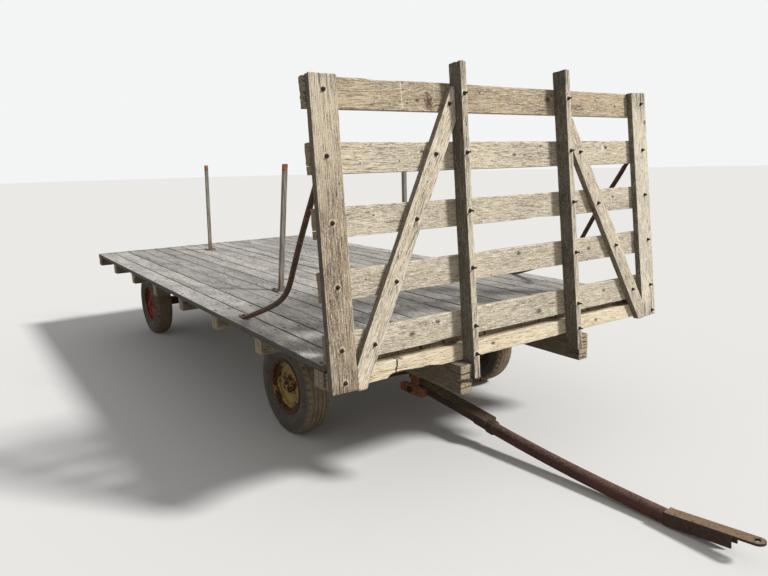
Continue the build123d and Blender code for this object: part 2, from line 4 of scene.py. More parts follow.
import bpy
from mathutils import Matrix, Vector
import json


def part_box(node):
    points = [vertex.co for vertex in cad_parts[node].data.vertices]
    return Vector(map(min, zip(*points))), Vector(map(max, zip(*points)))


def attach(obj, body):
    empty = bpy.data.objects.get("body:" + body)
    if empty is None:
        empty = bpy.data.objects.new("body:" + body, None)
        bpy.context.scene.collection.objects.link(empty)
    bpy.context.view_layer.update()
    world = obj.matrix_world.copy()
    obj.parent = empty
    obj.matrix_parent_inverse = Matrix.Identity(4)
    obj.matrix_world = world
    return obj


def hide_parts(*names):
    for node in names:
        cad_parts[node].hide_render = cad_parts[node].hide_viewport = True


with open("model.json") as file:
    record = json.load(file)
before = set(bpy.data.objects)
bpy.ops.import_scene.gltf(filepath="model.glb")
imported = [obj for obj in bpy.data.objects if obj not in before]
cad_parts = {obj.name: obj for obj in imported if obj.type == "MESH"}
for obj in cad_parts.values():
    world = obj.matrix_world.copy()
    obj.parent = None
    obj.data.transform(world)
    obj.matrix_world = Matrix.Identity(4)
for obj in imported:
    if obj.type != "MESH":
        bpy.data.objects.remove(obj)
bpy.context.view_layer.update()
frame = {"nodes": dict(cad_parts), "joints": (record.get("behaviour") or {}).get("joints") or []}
bpy.ops.object.select_all(action="DESELECT")
print("frame loaded,", len(frame["nodes"]), "nodes")

jointAt = {joint["name"]: Vector(joint["pos_m"]) for joint in frame["joints"]}
jointAxis = {joint["name"]: Vector(joint["axis"]) for joint in frame["joints"]}
forward, leftward, upward = Vector((1, 0, 0)), Vector((0, 1, 0)), Vector((0, 0, 1))
rightward, downward = Vector((0, -1, 0)), Vector((0, 0, -1))
sides = {-1: "right", 1: "left"}


def tone(red, green, blue):  # a paint-chart colour, 0 to 255, as the shader wants it
    parts = [part / 255 for part in (red, green, blue)]
    return tuple(part / 12.92 if part < 0.04 else ((part + 0.055) / 1.055) ** 2.4 for part in parts) + (1.0,)


# the rack leans back and stands just ahead of the deck
rack = {"lean": math.radians(5.6), "place": 1.805187, "board": 0.038, "deckGap": 0.004, "pitch": 0.284,
        "lift": 0.004, "rail": 0.138, "wide": 2.416, "rails": 5, "cells": (200, 11, 3)}
deckLow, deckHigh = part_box("deck_planks")
rackX = deckHigh.x + rack["board"] * math.cos(rack["lean"]) + rack["deckGap"]
rackTop = rack["lift"] + (rack["rails"] - 1) * rack["pitch"] + rack["rail"]
upWay = Vector((-math.sin(rack["lean"]), 0, math.cos(rack["lean"])))
frontWay = Vector((math.cos(rack["lean"]), 0, math.sin(rack["lean"])))


def turned(along, across, through, place):  # a place whose three ways are given
    return Matrix.Translation(place) @ Matrix((along, across, through)).transposed().to_4x4()


def onRack(left, up, out, angle=0.0):  # a place on the rack, with a board's length turned up from the left
    along = leftward * math.cos(angle) + upWay * math.sin(angle)
    across = upWay * math.cos(angle) - leftward * math.sin(angle)
    spot = Vector((rackX, 0, deckHigh.z)) + leftward * left + upWay * up + frontWay * out
    return turned(along, across, frontWay, spot)


# camera at the photograph's own angle
shot = {"back": (2.4152, -2.5467, 0.9050), "yaw": 0.5996, "pitch": 0.1965, "roll": 0.0239, "focal": 640.75,
        "wide": 768, "sensor": 36, "far": 400}
sight = Vector((-math.cos(shot["yaw"]) * math.cos(shot["pitch"]),
                math.sin(shot["yaw"]) * math.cos(shot["pitch"]), -math.sin(shot["pitch"])))
levelRight = sight.cross(upward).normalized()
levelDown = sight.cross(levelRight)
rightWay = levelRight * math.cos(shot["roll"]) + levelDown * math.sin(shot["roll"])
eye = Vector(shot["back"]) + Vector((rackX, 0, deckHigh.z))
bpy.ops.object.camera_add()
camera = bpy.context.object
camera.matrix_world = turned(rightWay, -sight.cross(rightWay), -sight, eye)
camera.data.sensor_width = shot["sensor"]
camera.data.lens = shot["focal"] * shot["sensor"] / shot["wide"]
camera.data.clip_end = shot["far"]
bpy.context.scene.camera = camera

# studio: one soft sun from the wagon's front left, a plain sky and a pale floor
studio = {"sunFrom": (0.60, 0.50, 0.62), "sunSoft": 0.16, "sun": 3.3, "sky": 0.38, "skyTone": (1, 1, 1, 1),
          "backdrop": 0.93, "backTone": (0.97, 0.975, 0.98, 1), "floor": (0.80, 0.79, 0.77, 1),
          "bounce": (0.42, 0.40, 0.37, 1), "floorWide": 90}
bpy.ops.object.light_add(type="SUN")
sun = bpy.context.object
sun.data.energy = studio["sun"]
sun.data.angle = studio["sunSoft"]
sun.rotation_mode = "QUATERNION"
sun.rotation_quaternion = Vector(studio["sunFrom"]).to_track_quat("Z", "Y")
bpy.context.scene.view_settings.view_transform = "Standard"


def does(operation, flipped=False):  # an arithmetic method for a shader's socket
    def method(wire, *others):
        values = (*others, wire) if flipped else (wire, *others)
        return wire.finish.node("ShaderNodeMath", {"operation": operation}, dict(enumerate(values)))
    return method


class Wire:  # one socket of a shader, with arithmetic
    def __init__(self, finish, make, socket):
        self.finish, self.make, self.socket = finish, make, socket

    __add__, __radd__ = does("ADD"), does("ADD", True)
    __sub__, __rsub__ = does("SUBTRACT"), does("SUBTRACT", True)
    __mul__, __rmul__ = does("MULTIPLY"), does("MULTIPLY", True)
    __truediv__, __pow__, __abs__ = does("DIVIDE"), does("POWER"), does("ABSOLUTE")
    most, least, wave, floor = does("MAXIMUM"), does("MINIMUM"), does("SINE"), does("FLOOR")

    def out(self, name):
        return Wire(self.finish, self.make, self.make.outputs[name])

    def smooth(self, zero, one):  # 0 at one value and 1 at the other, softly
        made = self.finish.node("ShaderNodeMapRange", {"interpolation_type": "SMOOTHSTEP"},
                                {"Value": self, "From Min": min(zero, one), "From Max": max(zero, one)})
        return 1 - made if zero > one else made


class Finish:  # one material and its nodes
    def __init__(self, name):
        self.material = bpy.data.materials.new(name)
        self.material.use_nodes = True
        self.tree = self.material.node_tree
        self.shader = self.tree.nodes["Principled BSDF"]
        coords = self.node("ShaderNodeTexCoord")
        self.place, self.normal = coords.out("Object"), coords.out("Normal")

    def node(self, kind, settings=None, inputs=None):
        made = self.tree.nodes.new(kind)
        for key, value in (settings or {}).items():
            setattr(made, key, value)
        for key, value in (inputs or {}).items():
            self.feed(made.inputs[key], value)
        return Wire(self, made, made.outputs[0])

    def feed(self, socket, value):
        if isinstance(value, Wire):
            self.tree.links.new(value.socket, socket)
        else:
            socket.default_value = value

    def local(self, place):  # the spot as seen from a board or an axle
        return self.node("ShaderNodeMapping", {"vector_type": "TEXTURE"},
                         {"Vector": self.place, "Location": place.to_translation(),
                          "Rotation": place.to_euler()})

    def parts(self, vector):
        split = self.node("ShaderNodeSeparateXYZ", {}, {"Vector": vector})
        return split.out("X"), split.out("Y"), split.out("Z")

    def spot(self, x, y, z):
        return self.node("ShaderNodeCombineXYZ", {}, {"X": x, "Y": y, "Z": z})

    def cloud(self, vector, scale, detail, rough=0.5):
        return self.node("ShaderNodeTexNoise", {"noise_dimensions": "3D"},
                         {"Vector": vector, "Scale": scale, "Detail": detail, "Roughness": rough})

    def mix(self, share, first, second):
        made = self.node("ShaderNodeMix", {"data_type": "RGBA", "blend_type": "MIX"},
                         {0: share, 6: first, 7: second})
        return made.out(2)

    def use(self, colour, rough, height=None, depth=0.002, strength=0.6, metal=0.0):
        self.feed(self.shader.inputs["Base Color"], colour)
        self.feed(self.shader.inputs["Roughness"], rough)
        self.feed(self.shader.inputs["Metallic"], metal)
        if height is not None:
            bump = self.node("ShaderNodeBump", {},
                             {"Height": height, "Distance": depth, "Strength": strength})
            self.tree.links.new(bump.socket, self.shader.inputs["Normal"])
        return self.material


# the floor and the sky show pale to the camera and to shiny metal, and the floor keeps the shadow
def backdrop():
    world = bpy.data.worlds.new("studioSky")
    world.use_nodes = True
    bpy.context.scene.world = world
    nodes, link = world.node_tree.nodes, world.node_tree.links.new
    sky, shown = nodes["Background"], nodes.new("ShaderNodeBackground")
    for ground, colour, strength in ((sky, "skyTone", "sky"), (shown, "backTone", "backdrop")):
        ground.inputs["Color"].default_value = studio[colour]
        ground.inputs["Strength"].default_value = studio[strength]
    rays, either, blend = (nodes.new("ShaderNode" + kind) for kind in ("LightPath", "Math", "MixShader"))
    either.operation = "MAXIMUM"
    link(rays.outputs["Is Camera Ray"], either.inputs[0])
    link(rays.outputs["Is Glossy Ray"], either.inputs[1])
    for place, maker in enumerate((either, sky, shown)):
        link(maker.outputs[0], blend.inputs[place])
    link(blend.outputs[0], nodes["World Output"].inputs[0])
    bpy.ops.mesh.primitive_circle_add(vertices=96, radius=studio["floorWide"], fill_type="NGON",
                                      location=(0, 0, 0))
    floor = bpy.context.object
    floor.name = "studioFloor"
    paint = Finish("studioFloor")
    paint.shader.inputs["Specular IOR Level"].default_value = 0.0
    seen = paint.node("ShaderNodeLightPath")
    toEye = seen.out("Is Camera Ray").most(seen.out("Is Glossy Ray"))
    floor.data.materials.append(paint.use(paint.mix(toEye, studio["bounce"], studio["floor"]), 0.95))


backdrop()
print("camera, light and floor made")


# Weathered wood. The grain runs along the board and round its knots; bolts bleed rust downwards.
fullTurn = 6.28


def agedWood(name, look):
    wood = Finish(name)
    place = look["place"]
    along, across, through = wood.parts(wood.local(place))
    halfLong, halfWide, halfThick = (side / 2 for side in look["size"])
    seed = look["seed"] * 3.17
    shade = None
    if "repeat" in look:  # one finish on many boards side by side
        count, pitch = look["repeat"]
        row = (across / pitch + count / 2).floor()
        across = across - (row - count / 2 + 0.5) * pitch
        chance = wood.node("ShaderNodeTexWhiteNoise", {"noise_dimensions": "1D"}, {"W": row + seed})
        shade = chance.out("Value")
        seed = row * 5.3 + seed
    flatAcross = across
    back = 0 - seed

    def grains(long, wide, detail, rough=0.5, start=seed):  # noise drawn out along the board
        return wood.cloud(wood.spot(along * long + start, across * wide, through * wide), 1.0, detail, rough)

    def distance(long, wide):
        return (long * long + wide * wide) ** 0.5

    drift = wood.cloud(wood.spot(along * 0.9 + seed, across * 3, through * 3), 1.0, 2.0)
    ragged = grains(60, 110, 3.0, 0.6)
    across = across + (drift - 0.5) * look["wander"]
    core = star = None
    for knotLong, knotWide, knotSize, *tall in look["knots"]:  # some knots stand taller than they are long
        longOff = (along - knotLong) * (tall[0] if tall else 0.62)
        wideOff = flatAcross - knotWide
        far = longOff * longOff + wideOff * wideOff
        across = across - wideOff * (knotSize * knotSize * 1.3) / far.most(knotSize * knotSize)
        reach = far ** 0.5 + (ragged - 0.5) * knotSize * 0.9
        here = reach.smooth(knotSize * 1.1, knotSize * 0.7) * 0.7
        here = here + reach.smooth(knotSize * 0.75, knotSize * 0.2) * 0.3
        turn = wood.node("ShaderNodeMath", {"operation": "ARCTAN2"}, {0: wideOff, 1: longOff})
        ray = abs((turn * 2.5 + ragged * 2.4 + knotLong * 40).wave()).smooth(0.55, 0.12)
        ray = ray * reach.smooth(knotSize * 1.7, knotSize * 1.0)
        rim = abs(reach - knotSize * 1.05).smooth(knotSize * 0.22, 0.0) * 0.7
        ray = ray.most(rim)
        core, star = (here, ray) if core is None else (core.most(here), star.most(ray))
    # fibres in short dashes, growth lines, long dry checks, silvered ribs and slow weathering
    fibre = grains(look["dash"], 220, 4.0, 0.62)
    fine = grains(34, 620, 2.0, 0.6, back)
    salt = grains(110, 300, 2.0, 0.6, back)
    silver = wood.cloud(wood.spot(along * 21 - seed, across * 190 + 9, through * 190), 1.0, 4.0, 0.7)
    band = grains(1.1, 70, 2.0, 0.55)
    rib = (across * (fullTurn / look["ring"]) + band * 5 + seed).wave() * 0.5 + 0.5
    ridge = rib ** 3
    split = grains(1.5, 44, 1.0, start=back)
    gate = grains(2.4, 9, 2.0)
    crack = abs(split - 0.5).smooth(look["crackWide"], look["crackWide"] * 0.25) * gate.smooth(0.50, 0.62)
    endClose = (halfLong - abs(along)).smooth(0.16, 0.0)
    endSplit = abs(grains(0.8, 62, 1.0) - 0.5)
    crack = crack.most(endSplit.smooth(0.020, 0.004) * endClose.smooth(0.25, 0.7))
    slow = grains(3.2, 11, 4.0, 0.6)
    patch = grains(9, 30, 4.0, 0.65, back)
    uneven = patch - 0.5
    worn = (halfWide - abs(flatAcross)).most(halfThick - abs(through))
    edge = (worn + uneven * 0.012).smooth(0.009, 0.001)
    colour = wood.mix(slow.smooth(0.36, 0.64), look["light"], look["grey"])
    colour = wood.mix(patch.smooth(0.48, 0.70) * look["tanShare"], colour, look["tan"])
    pale = (silver.smooth(0.52, 0.62) * 0.9 + salt.smooth(0.53, 0.61) * 0.9 + edge * 0.4).least(1.0)
    colour = wood.mix(pale * look["silver"], colour, look["edge"])
    mildew = silver.smooth(0.47, 0.34)
    dash = fibre.smooth(0.50, 0.62) * ragged.smooth(0.30, 0.54)
    dark = dash * 0.80 + ridge * look["ribShare"] + fine.smooth(0.50, 0.70) * 0.32 + mildew * 0.45 * dash
    dark = dark.least(1.0)
    colour = wood.mix(dark * look["grain"], colour, look["dark"])
    spots = ragged.smooth(0.64, 0.72) * slow.smooth(0.40, 0.58)
    colour = wood.mix(spots * look["spots"], colour, look["crack"])
    colour = wood.mix(endClose * 0.35 * patch.smooth(0.3, 0.6), colour, look["dark"])
    if look["topPaleness"]:  # paler towards the top
        high = (along / halfLong).smooth(-0.1, 0.95)
        colour = wood.mix(high * look["topPaleness"] * (1 - dash * 0.7), colour, look["edge"])
    for at, half, low, top in look["runs"]:  # pale runs across the board
        run = abs(along - at + uneven * 0.006).smooth(half, half * 0.4) * flatAcross.smooth(low, low + 0.01)
        run = run * flatAcross.smooth(top, top - 0.01) * fine.smooth(0.3, 0.5)
        colour = wood.mix(run * 0.8, colour, look["run"])
    for at, half in look["breaks"]:  # dark splits across the board
        line = abs(along - at - flatAcross * 0.2 + uneven * 0.03).smooth(half, half * 0.3)
        colour = wood.mix(line * ragged.smooth(0.36, 0.46), colour, look["crack"])
    if core is not None:
        colour = wood.mix(core * 0.9, colour, look["knot"])
        colour = wood.mix(star * 0.85, colour, look["crack"])
    # end grain shows rings, and the side turned from the sun (facing −Y) gets painted shade: a greyer, darker
    # colour
    ahead = tuple(place.to_3x3().col[0])
    facing = wood.node("ShaderNodeVectorMath", {"operation": "DOT_PRODUCT"}, {0: wood.normal, 1: ahead})
    endFace = abs(facing.out("Value")).smooth(0.72, 0.9)
    shaded = wood.parts(wood.normal)[1].smooth(-0.55, -0.88)
    pith = distance(flatAcross, through + halfThick + 0.05)
    endRings = (pith * (fullTurn / 0.0045) + patch * 3).wave() * 0.5 + 0.5
    endColour = wood.mix(endRings * 0.6, look["endLight"], look["endDark"])
    paintedShadeColour = wood.mix(pale * 0.4, wood.mix(dark * 0.75, look["paintedShadeTone"], look["crack"]), look["grey"])
    colour = wood.mix(shaded * look["paintedShadeShare"], colour, paintedShadeColour)
    colour = wood.mix(endFace, colour, endColour)
    stain = None
    for boltLong, boltWide in look["bolts"]:
        longOff, wideOff = along - boltLong, flatAcross - boltWide
        near = distance(longOff, wideOff) + (ragged - 0.5) * 0.006
        ring = near.smooth(0.0145, 0.0075)
        halo = near.smooth(0.0215, 0.0175)
        colour = wood.mix(halo * slow.smooth(0.40, 0.52) * (1 - shaded) * 0.6, colour, look["edge"])
        fall = longOff * look["down"][0] + wideOff * look["down"][1]
        aside = abs(longOff * look["down"][1] - wideOff * look["down"][0])
        streak = aside.smooth(0.009, 0.002) * fall.smooth(0.13, 0.0) * fall.smooth(-0.004, 0.004) * 0.5
        spot = ring.most(streak)
        stain = spot if stain is None else stain.most(spot)
    for holeLong, holeWide in look["holes"]:
        spot = distance((along - holeLong) * 0.8, flatAcross - holeWide).smooth(0.0050, 0.0030)
        stain = spot if stain is None else stain.most(spot)
    if stain is not None:
        colour = wood.mix((stain * (0.55 + fibre * 0.7)).least(1.0), colour, look["rust"])
    if "nails" in look:
        pitch, first, offset = look["nails"]
        nailOff = along - first + pitch / 2
        nailOff = nailOff - (nailOff / pitch).floor() * pitch - pitch / 2
        nailAside = abs(flatAcross) - offset
        near = (nailOff * nailOff * 0.12 + nailAside * nailAside) ** 0.5
        colour = wood.mix(near.smooth(0.011, 0.003) * (0.35 + fibre * 0.6), colour, look["rust"])
    colour = wood.mix(crack * 0.9, colour, look["crack"])
    if shade is not None:
        shift = wood.node("ShaderNodeHueSaturation", {}, {"Value": 0.72 + shade * 0.46, "Color": colour})
        colour = wood.mix(0.85, colour, shift)
        joint = (halfWide - abs(flatAcross)).smooth(0.007, 0.001)
        colour = wood.mix(joint * look["jointDark"], colour, look["crack"])
    height = 1.0 - dash * 0.55 - ridge * 0.30 - crack * 2.2 + pale * 0.25 - fine * 0.3 + patch * 0.3
    if core is not None:
        height = height - core * 0.3 - star * 0.6
    return wood.use(colour, 0.94 - fibre * 0.12, height, look["bump"], 0.85)


# the side tone and side share below paint shade on the faces turned to −Y
woodBase = {
    "wander": 0.028, "ring": 0.0075, "crackWide": 0.0070, "dash": 16.0, "grain": 0.80, "ribShare": 0.12,
    "tanShare": 0.35, "silver": 0.85, "spots": 0.55, "bump": 0.0030, "topPaleness": 0.0, "paintedShadeShare": 0.85,
    "jointDark": 0.0, "knots": (), "bolts": (), "holes": (), "runs": (), "breaks": (),
    "light": tone(215, 200, 172), "grey": tone(186, 172, 150), "tan": tone(202, 176, 138),
    "dark": tone(98, 84, 68), "edge": tone(248, 240, 221), "run": tone(244, 238, 224),
    "knot": tone(92, 64, 42), "crack": tone(50, 41, 33), "rust": tone(60, 43, 34),
    "paintedShadeTone": tone(88, 82, 72), "endLight": tone(170, 152, 124), "endDark": tone(98, 82, 64),
}


# mesh helpers
def choose(*pieces):  # these alone are selected, and the first one is active
    bpy.ops.object.select_all(action="DESELECT")
    for piece in pieces:
        piece.select_set(True)
    bpy.context.view_layer.objects.active = pieces[0]


def openMesh(piece):  # edit mode, with everything selected
    choose(piece)
    bpy.ops.object.mode_set(mode="EDIT")
    bpy.ops.mesh.select_all(action="SELECT")


def closeMesh(mend=False):  # back to object mode, with touching points joined and the faces turned outwards
    bpy.ops.mesh.select_all(action="SELECT")
    if mend:
        bpy.ops.mesh.remove_doubles(threshold=0.00001)
    bpy.ops.mesh.normals_make_consistent(inside=False)
    bpy.ops.object.mode_set(mode="OBJECT")


def smoothed(piece, degrees):
    choose(piece)
    bpy.ops.object.shade_smooth_by_angle(angle=math.radians(degrees))
    return piece


def placed(name, data):  # a new object with this mesh or curve, alone selected
    piece = bpy.data.objects.new(name, data)
    bpy.context.scene.collection.objects.link(piece)
    choose(piece)
    return piece


def add(piece, kind, **settings):  # a modifier, applied at once
    made = piece.modifiers.new(kind.lower(), kind)
    for key, value in settings.items():
        setattr(made, key, value)
    bpy.context.view_layer.objects.active = piece
    bpy.ops.object.modifier_apply(modifier=made.name)


def soften(piece, width, segments=2, **settings):
    add(piece, "BEVEL", width=width, segments=segments, limit_method="ANGLE", **settings)


def roughen(piece, size, depth, stretch=1.0, seed=0.0, group="", way="NORMAL", detail=2):
    grain = bpy.data.textures.new("roughness", "CLOUDS")
    grain.noise_scale = size
    grain.noise_depth = detail
    guide = bpy.data.objects.new("guide", None)
    bpy.context.scene.collection.objects.link(guide)
    guide.matrix_world = Matrix.Translation((seed * 1.7, seed, -seed)) @ Matrix.Diagonal((stretch, 1, 1, 1))
    bpy.context.view_layer.update()
    add(piece, "DISPLACE", texture=grain, texture_coords="OBJECT", texture_coords_object=guide,
        strength=depth, mid_level=0.5, vertex_group=group, direction=way)
    bpy.data.objects.remove(guide)
    bpy.data.textures.remove(grain)


def settle(piece, place):  # puts a finished piece in its place, with the place in its mesh
    piece.matrix_world = place
    choose(piece)
    bpy.ops.object.transform_apply(location=True, rotation=True, scale=True)
    bpy.ops.object.select_all(action="DESELECT")


def dress(piece, body, slot, finish, *nodes):
    piece.data.materials.clear()
    piece.data.materials.append(finish)
    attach(piece, body)
    if nodes:
        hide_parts(*nodes)


def joined(pieces, name):
    choose(*pieces)
    if len(pieces) > 1:
        bpy.ops.object.join()
    pieces[0].name = name
    bpy.ops.object.select_all(action="DESELECT")
    return pieces[0]


def copies(model, places, name):  # copies of one small piece, each with its own mesh, joined
    made = []
    for place in places:
        piece = model.copy()
        piece.data = model.data.copy()
        bpy.context.scene.collection.objects.link(piece)
        piece.data.transform(place)
        made.append(piece)
    return joined(made, name)


def upright(corners, radius, low, top, soft):  # a bar between two heights, round or with a few corners
    bpy.ops.mesh.primitive_cylinder_add(vertices=corners, radius=radius, depth=top - low,
                                        location=(0, 0, (low + top) / 2))
    piece = bpy.context.object
    bpy.ops.object.transform_apply(location=True)
    soften(piece, soft)
    return piece


def nutStack(*bars):  # a washer, a worn nut and the end of its bolt
    return smoothed(joined([upright(*bar) for bar in bars], "nutModel"), 35)


# Sawn boards. Each is a fine grid, thickened, with worn edges, raised grain, ragged ends and real splits.
def sawnBoard(name, size, cells, wear, seed, splits=()):
    long, wide, thick = size
    bpy.ops.mesh.primitive_grid_add(x_subdivisions=cells[0], y_subdivisions=cells[1], size=1)
    board = bpy.context.object
    board.name = name
    board.scale = (long, wide, 1)
    bpy.ops.object.transform_apply(location=False, rotation=False, scale=True)
    openMesh(board)
    bpy.ops.transform.translate(value=(0, 0, -thick / 2))
    for level in range(cells[2]):
        bpy.ops.mesh.extrude_region_move(TRANSFORM_OT_translate={"value": (0, 0, thick / cells[2])})
    closeMesh()
    soften(board, wear["edge"], angle_limit=math.radians(60))
    ends = board.vertex_groups.new(name="ends")
    for point in board.data.vertices:
        close = 1 - (long / 2 - abs(point.co.x)) / wear["endReach"]
        if close > 0:
            ends.add([point.index], close, "REPLACE")
    roughen(board, 0.25, wear["bow"], 4, seed)
    roughen(board, 0.028, wear["grain"], 9, seed + 3)
    roughen(board, 0.012, wear["nick"], 1.5, seed + 5)
    roughen(board, 0.016, wear["ragged"], 1, seed + 7, "ends", "X", 3)
    over = 0.01  # a wedge starts a little outside the board
    for end, across, length, gape in splits:
        bpy.ops.mesh.primitive_cone_add(vertices=4, radius1=0.5, radius2=0, depth=1)
        wedge = bpy.context.object
        wedge.matrix_world = (Matrix.Translation((end * (long / 2 - length / 2 + over), across, 0))
                              @ Matrix.Rotation(-end * math.pi / 2, 4, "Y")
                              @ Matrix.Diagonal((thick * 3.2, gape, length + 2 * over, 1)))
        bpy.context.view_layer.update()
        add(board, "BOOLEAN", object=wedge, operation="DIFFERENCE", solver="EXACT")
        bpy.data.objects.remove(wedge)
    return smoothed(board, 38)


def shaveAt(piece, spot, normal):  # cuts a placed piece flat along a plane and closes the cut
    openMesh(piece)
    bpy.ops.mesh.bisect(plane_co=spot, plane_no=normal, use_fill=True, clear_outer=True)
    bpy.ops.object.mode_set(mode="OBJECT")


# breaks pieces out of a board's long edge, along a path of (along, depth)
def nibble(board, side, base, path):
    for point in board.data.vertices:
        for (start, deep), (stop, deeper) in zip(path, path[1:]):
            if start <= point.co.x < stop:
                depth = deep + (deeper - deep) * (point.co.x - start) / (stop - start)
                share = (base + side * point.co.y) / (2 * base)
                point.co.y -= side * depth * share ** 2


rackWear = {"edge": 0.0026, "endReach": 0.03, "bow": 0.0018, "grain": 0.0014, "nick": 0.0010, "ragged": 0.007}
postWear = dict(rackWear, edge=0.0032, bow=0.0026, grain=0.0018, ragged=0.009)
deckWear = {"edge": 0.003, "endReach": 0.05, "bow": 0.004, "grain": 0.0020, "nick": 0.0012, "ragged": 0.016}
beamWear = {"edge": 0.004, "endReach": 0.04, "bow": 0.003, "grain": 0.0022, "nick": 0.0016, "ragged": 0.012}


def onBoard(left, up, middle, angle):  # a place on the rack as seen along and across a board
    x, y = left - middle[0], up - middle[1]
    return (x * math.cos(angle) + y * math.sin(angle), y * math.cos(angle) - x * math.sin(angle))


def rackBoard(name, node, middle, out, size, cells, angle, wear, look, bolts, splits=(), chips=()):
    place = onRack(middle[0], middle[1], out, angle)
    seed = sum(ord(letter) * (3 + count) for count, letter in enumerate(node)) % 97
    board = sawnBoard(name, size, cells, wear, seed * 0.37, splits)
    for side, base, path in chips:
        nibble(board, side, base, path)
    settle(board, place)
    knots = [(*onBoard(left, up, middle, angle), *shape) for left, up, *shape in look.get("knots", ())]
    holes = [onBoard(left, up, middle, angle) for left, up in look.get("holes", ())]
    marks = [onBoard(left, up, middle, angle) for left, up in bolts]
    full = dict(woodBase, **look)
    full.update(place=place, size=size, knots=knots, holes=holes, bolts=marks, seed=seed,
                down=(-math.sin(angle), -math.cos(angle)))
    dress(board, "wagon", "rack_wood", agedWood(name, full), node)
    return board


# bolts of the rack, as they stand in the photograph: left and up on the rack's face
endBolts = {-1: ((-1.132, 1.213), (-1.143, 0.93), (-1.144, 0.64), (-1.146, 0.356), (-1.152, 0.071),
                 (-1.149, -0.079)),
            1: ((1.128, 1.213), (1.132, 0.932), (1.142, 0.653), (1.160, 0.367), (1.170, 0.074),
                (1.180, -0.093))}
slantBolts = {-1: ((-0.430, 1.172), (-0.535, 0.93), (-0.680, 0.626), (-0.826, 0.343), (-0.975, 0.068)),
              1: ((0.430, 1.172), (0.534, 0.927), (0.678, 0.626), (0.829, 0.361), (0.983, 0.068))}
midBoltUps = (1.215, 0.93, 0.645, 0.36, 0.065, -0.080)
boltNear = 0.07  # a bolt this near to a rail's middle goes through it

# the five wide rails from the top: knots (left, up, size, how tall), nail holes, pale runs, chipped edges
railLooks = {
    "rail_1": {"knots": ((-0.60, 1.190, 0.007), (-0.531, 1.186, 0.030, 1.35), (0.317, 1.22, 0.013),
                         (0.92, 1.20, 0.006)),
               "holes": ((-0.679, 1.268), (-0.189, 1.235), (0.74, 1.234), (-0.66, 1.175)), "tanShare": 0.75,
               "light": tone(208, 188, 156), "grey": tone(172, 154, 128), "tan": tone(184, 150, 106),
               "dark": tone(94, 77, 58), "edge": tone(236, 222, 194), "spots": 0.8,
               "runs": ((-0.69, 0.0035, -0.068, 0.066), (-0.49, 0.003, 0.0, 0.055))},
    "rail_2": {"knots": ((-0.591, 0.947, 0.008), (0.036, 0.923, 0.008), (0.82, 0.955, 0.009)),
               "holes": ((-0.73, 0.905), (0.30, 0.90), (-0.95, 0.90)), "light": tone(230, 214, 184),
               "grey": tone(204, 189, 163), "runs": ((0.791, 0.014, 0.004, 0.052),)},
    "rail_3": {"knots": ((-0.289, 0.640, 0.007), (0.869, 0.655, 0.007)),
               "holes": ((0.20, 0.60), (-0.90, 0.66)), "grain": 0.66},
    "rail_4": {"knots": ((0.032, 0.39, 0.008), (0.62, 0.36, 0.009)), "holes": ((-0.30, 0.32), (-0.971, 0.37)),
               "grain": 0.66},
    "rail_5": {"knots": ((-0.565, 0.106, 0.008), (-0.729, 0.069, 0.010), (0.167, 0.049, 0.010),
                         (0.75, 0.09, 0.008)),
               "holes": ((-0.60, 0.105), (-0.18, 0.10)), "grain": 0.72},
}
halfRail = rack["rail"] / 2
railChips = {"rail_1": ((1, halfRail, ((-0.90, 0), (-0.82, 0.006), (-0.70, 0.002), (-0.62, 0))),),
             "rail_3": ((-1, halfRail, ((0.10, 0), (0.16, 0.007), (0.30, 0.003), (0.36, 0))),),
             "rail_4": ((1, halfRail, ((-0.30, 0), (-0.25, 0.005), (-0.12, 0))),),
             "rail_5": ((-1, halfRail, ((-0.60, 0), (-0.5, 0.006), (-0.35, 0.004), (-0.2, 0))),)}
railSplits = ((1, 0.02, 0.20, 0.006), (-1, -0.03, 0.16, 0.005))
for step in range(rack["rails"]):
    number = rack["rails"] - step
    node = f"rail_{number}"
    middleUp = rack["lift"] + step * rack["pitch"] + halfRail
    marks = [(left, up) for left, up in slantBolts[-1] + slantBolts[1] if abs(up - middleUp) < boltNear]
    size = (rack["wide"], rack["rail"], rack["board"])
    rackBoard(f"railBoard{number}", node, (0, middleUp), -rack["board"] / 2, size, rack["cells"], 0.0,
              rackWear, railLooks[node], marks, railSplits, railChips.get(node, ()))
print("rails made")

# the narrow lowest board, with a long piece broken out of its lower edge
lowBoard = {"tall": 0.0815, "gap": 0.001, "cells": (240, 8, 3), "splits": ((-1, 0.01, 0.22, 0.006),),
            "chip": ((-0.895, 0), (-0.872, 0.017), (-0.815, 0.022), (-0.70, 0.012), (-0.64, 0.014),
                     (-0.555, 0), (0.30, 0), (0.42, 0.004), (0.6, 0))}
lowLook = {"light": tone(252, 232, 193), "grey": tone(240, 219, 178), "tan": tone(228, 200, 152),
           "grain": 0.55, "knots": ((-0.2, -0.07, 0.007), (0.66, -0.08, 0.008), (-0.808, -0.033, 0.007),
                     (-0.748, -0.024, 0.006)),
           "breaks": ((-0.838, 0.008),)}
joistLow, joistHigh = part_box("cross_joists")
lowMiddle = -(deckHigh.z - joistLow.z) / math.cos(rack["lean"]) + rack["board"] * math.tan(rack["lean"])
lowMiddle += lowBoard["gap"] + lowBoard["tall"] / 2
rackBoard("lowBoard", "rail_6", (0, lowMiddle), -rack["board"] / 2,
          (rack["wide"], lowBoard["tall"], rack["board"]), lowBoard["cells"], 0.0, rackWear, lowLook, (),
          lowBoard["splits"], ((-1, lowBoard["tall"] / 2, lowBoard["chip"]),))

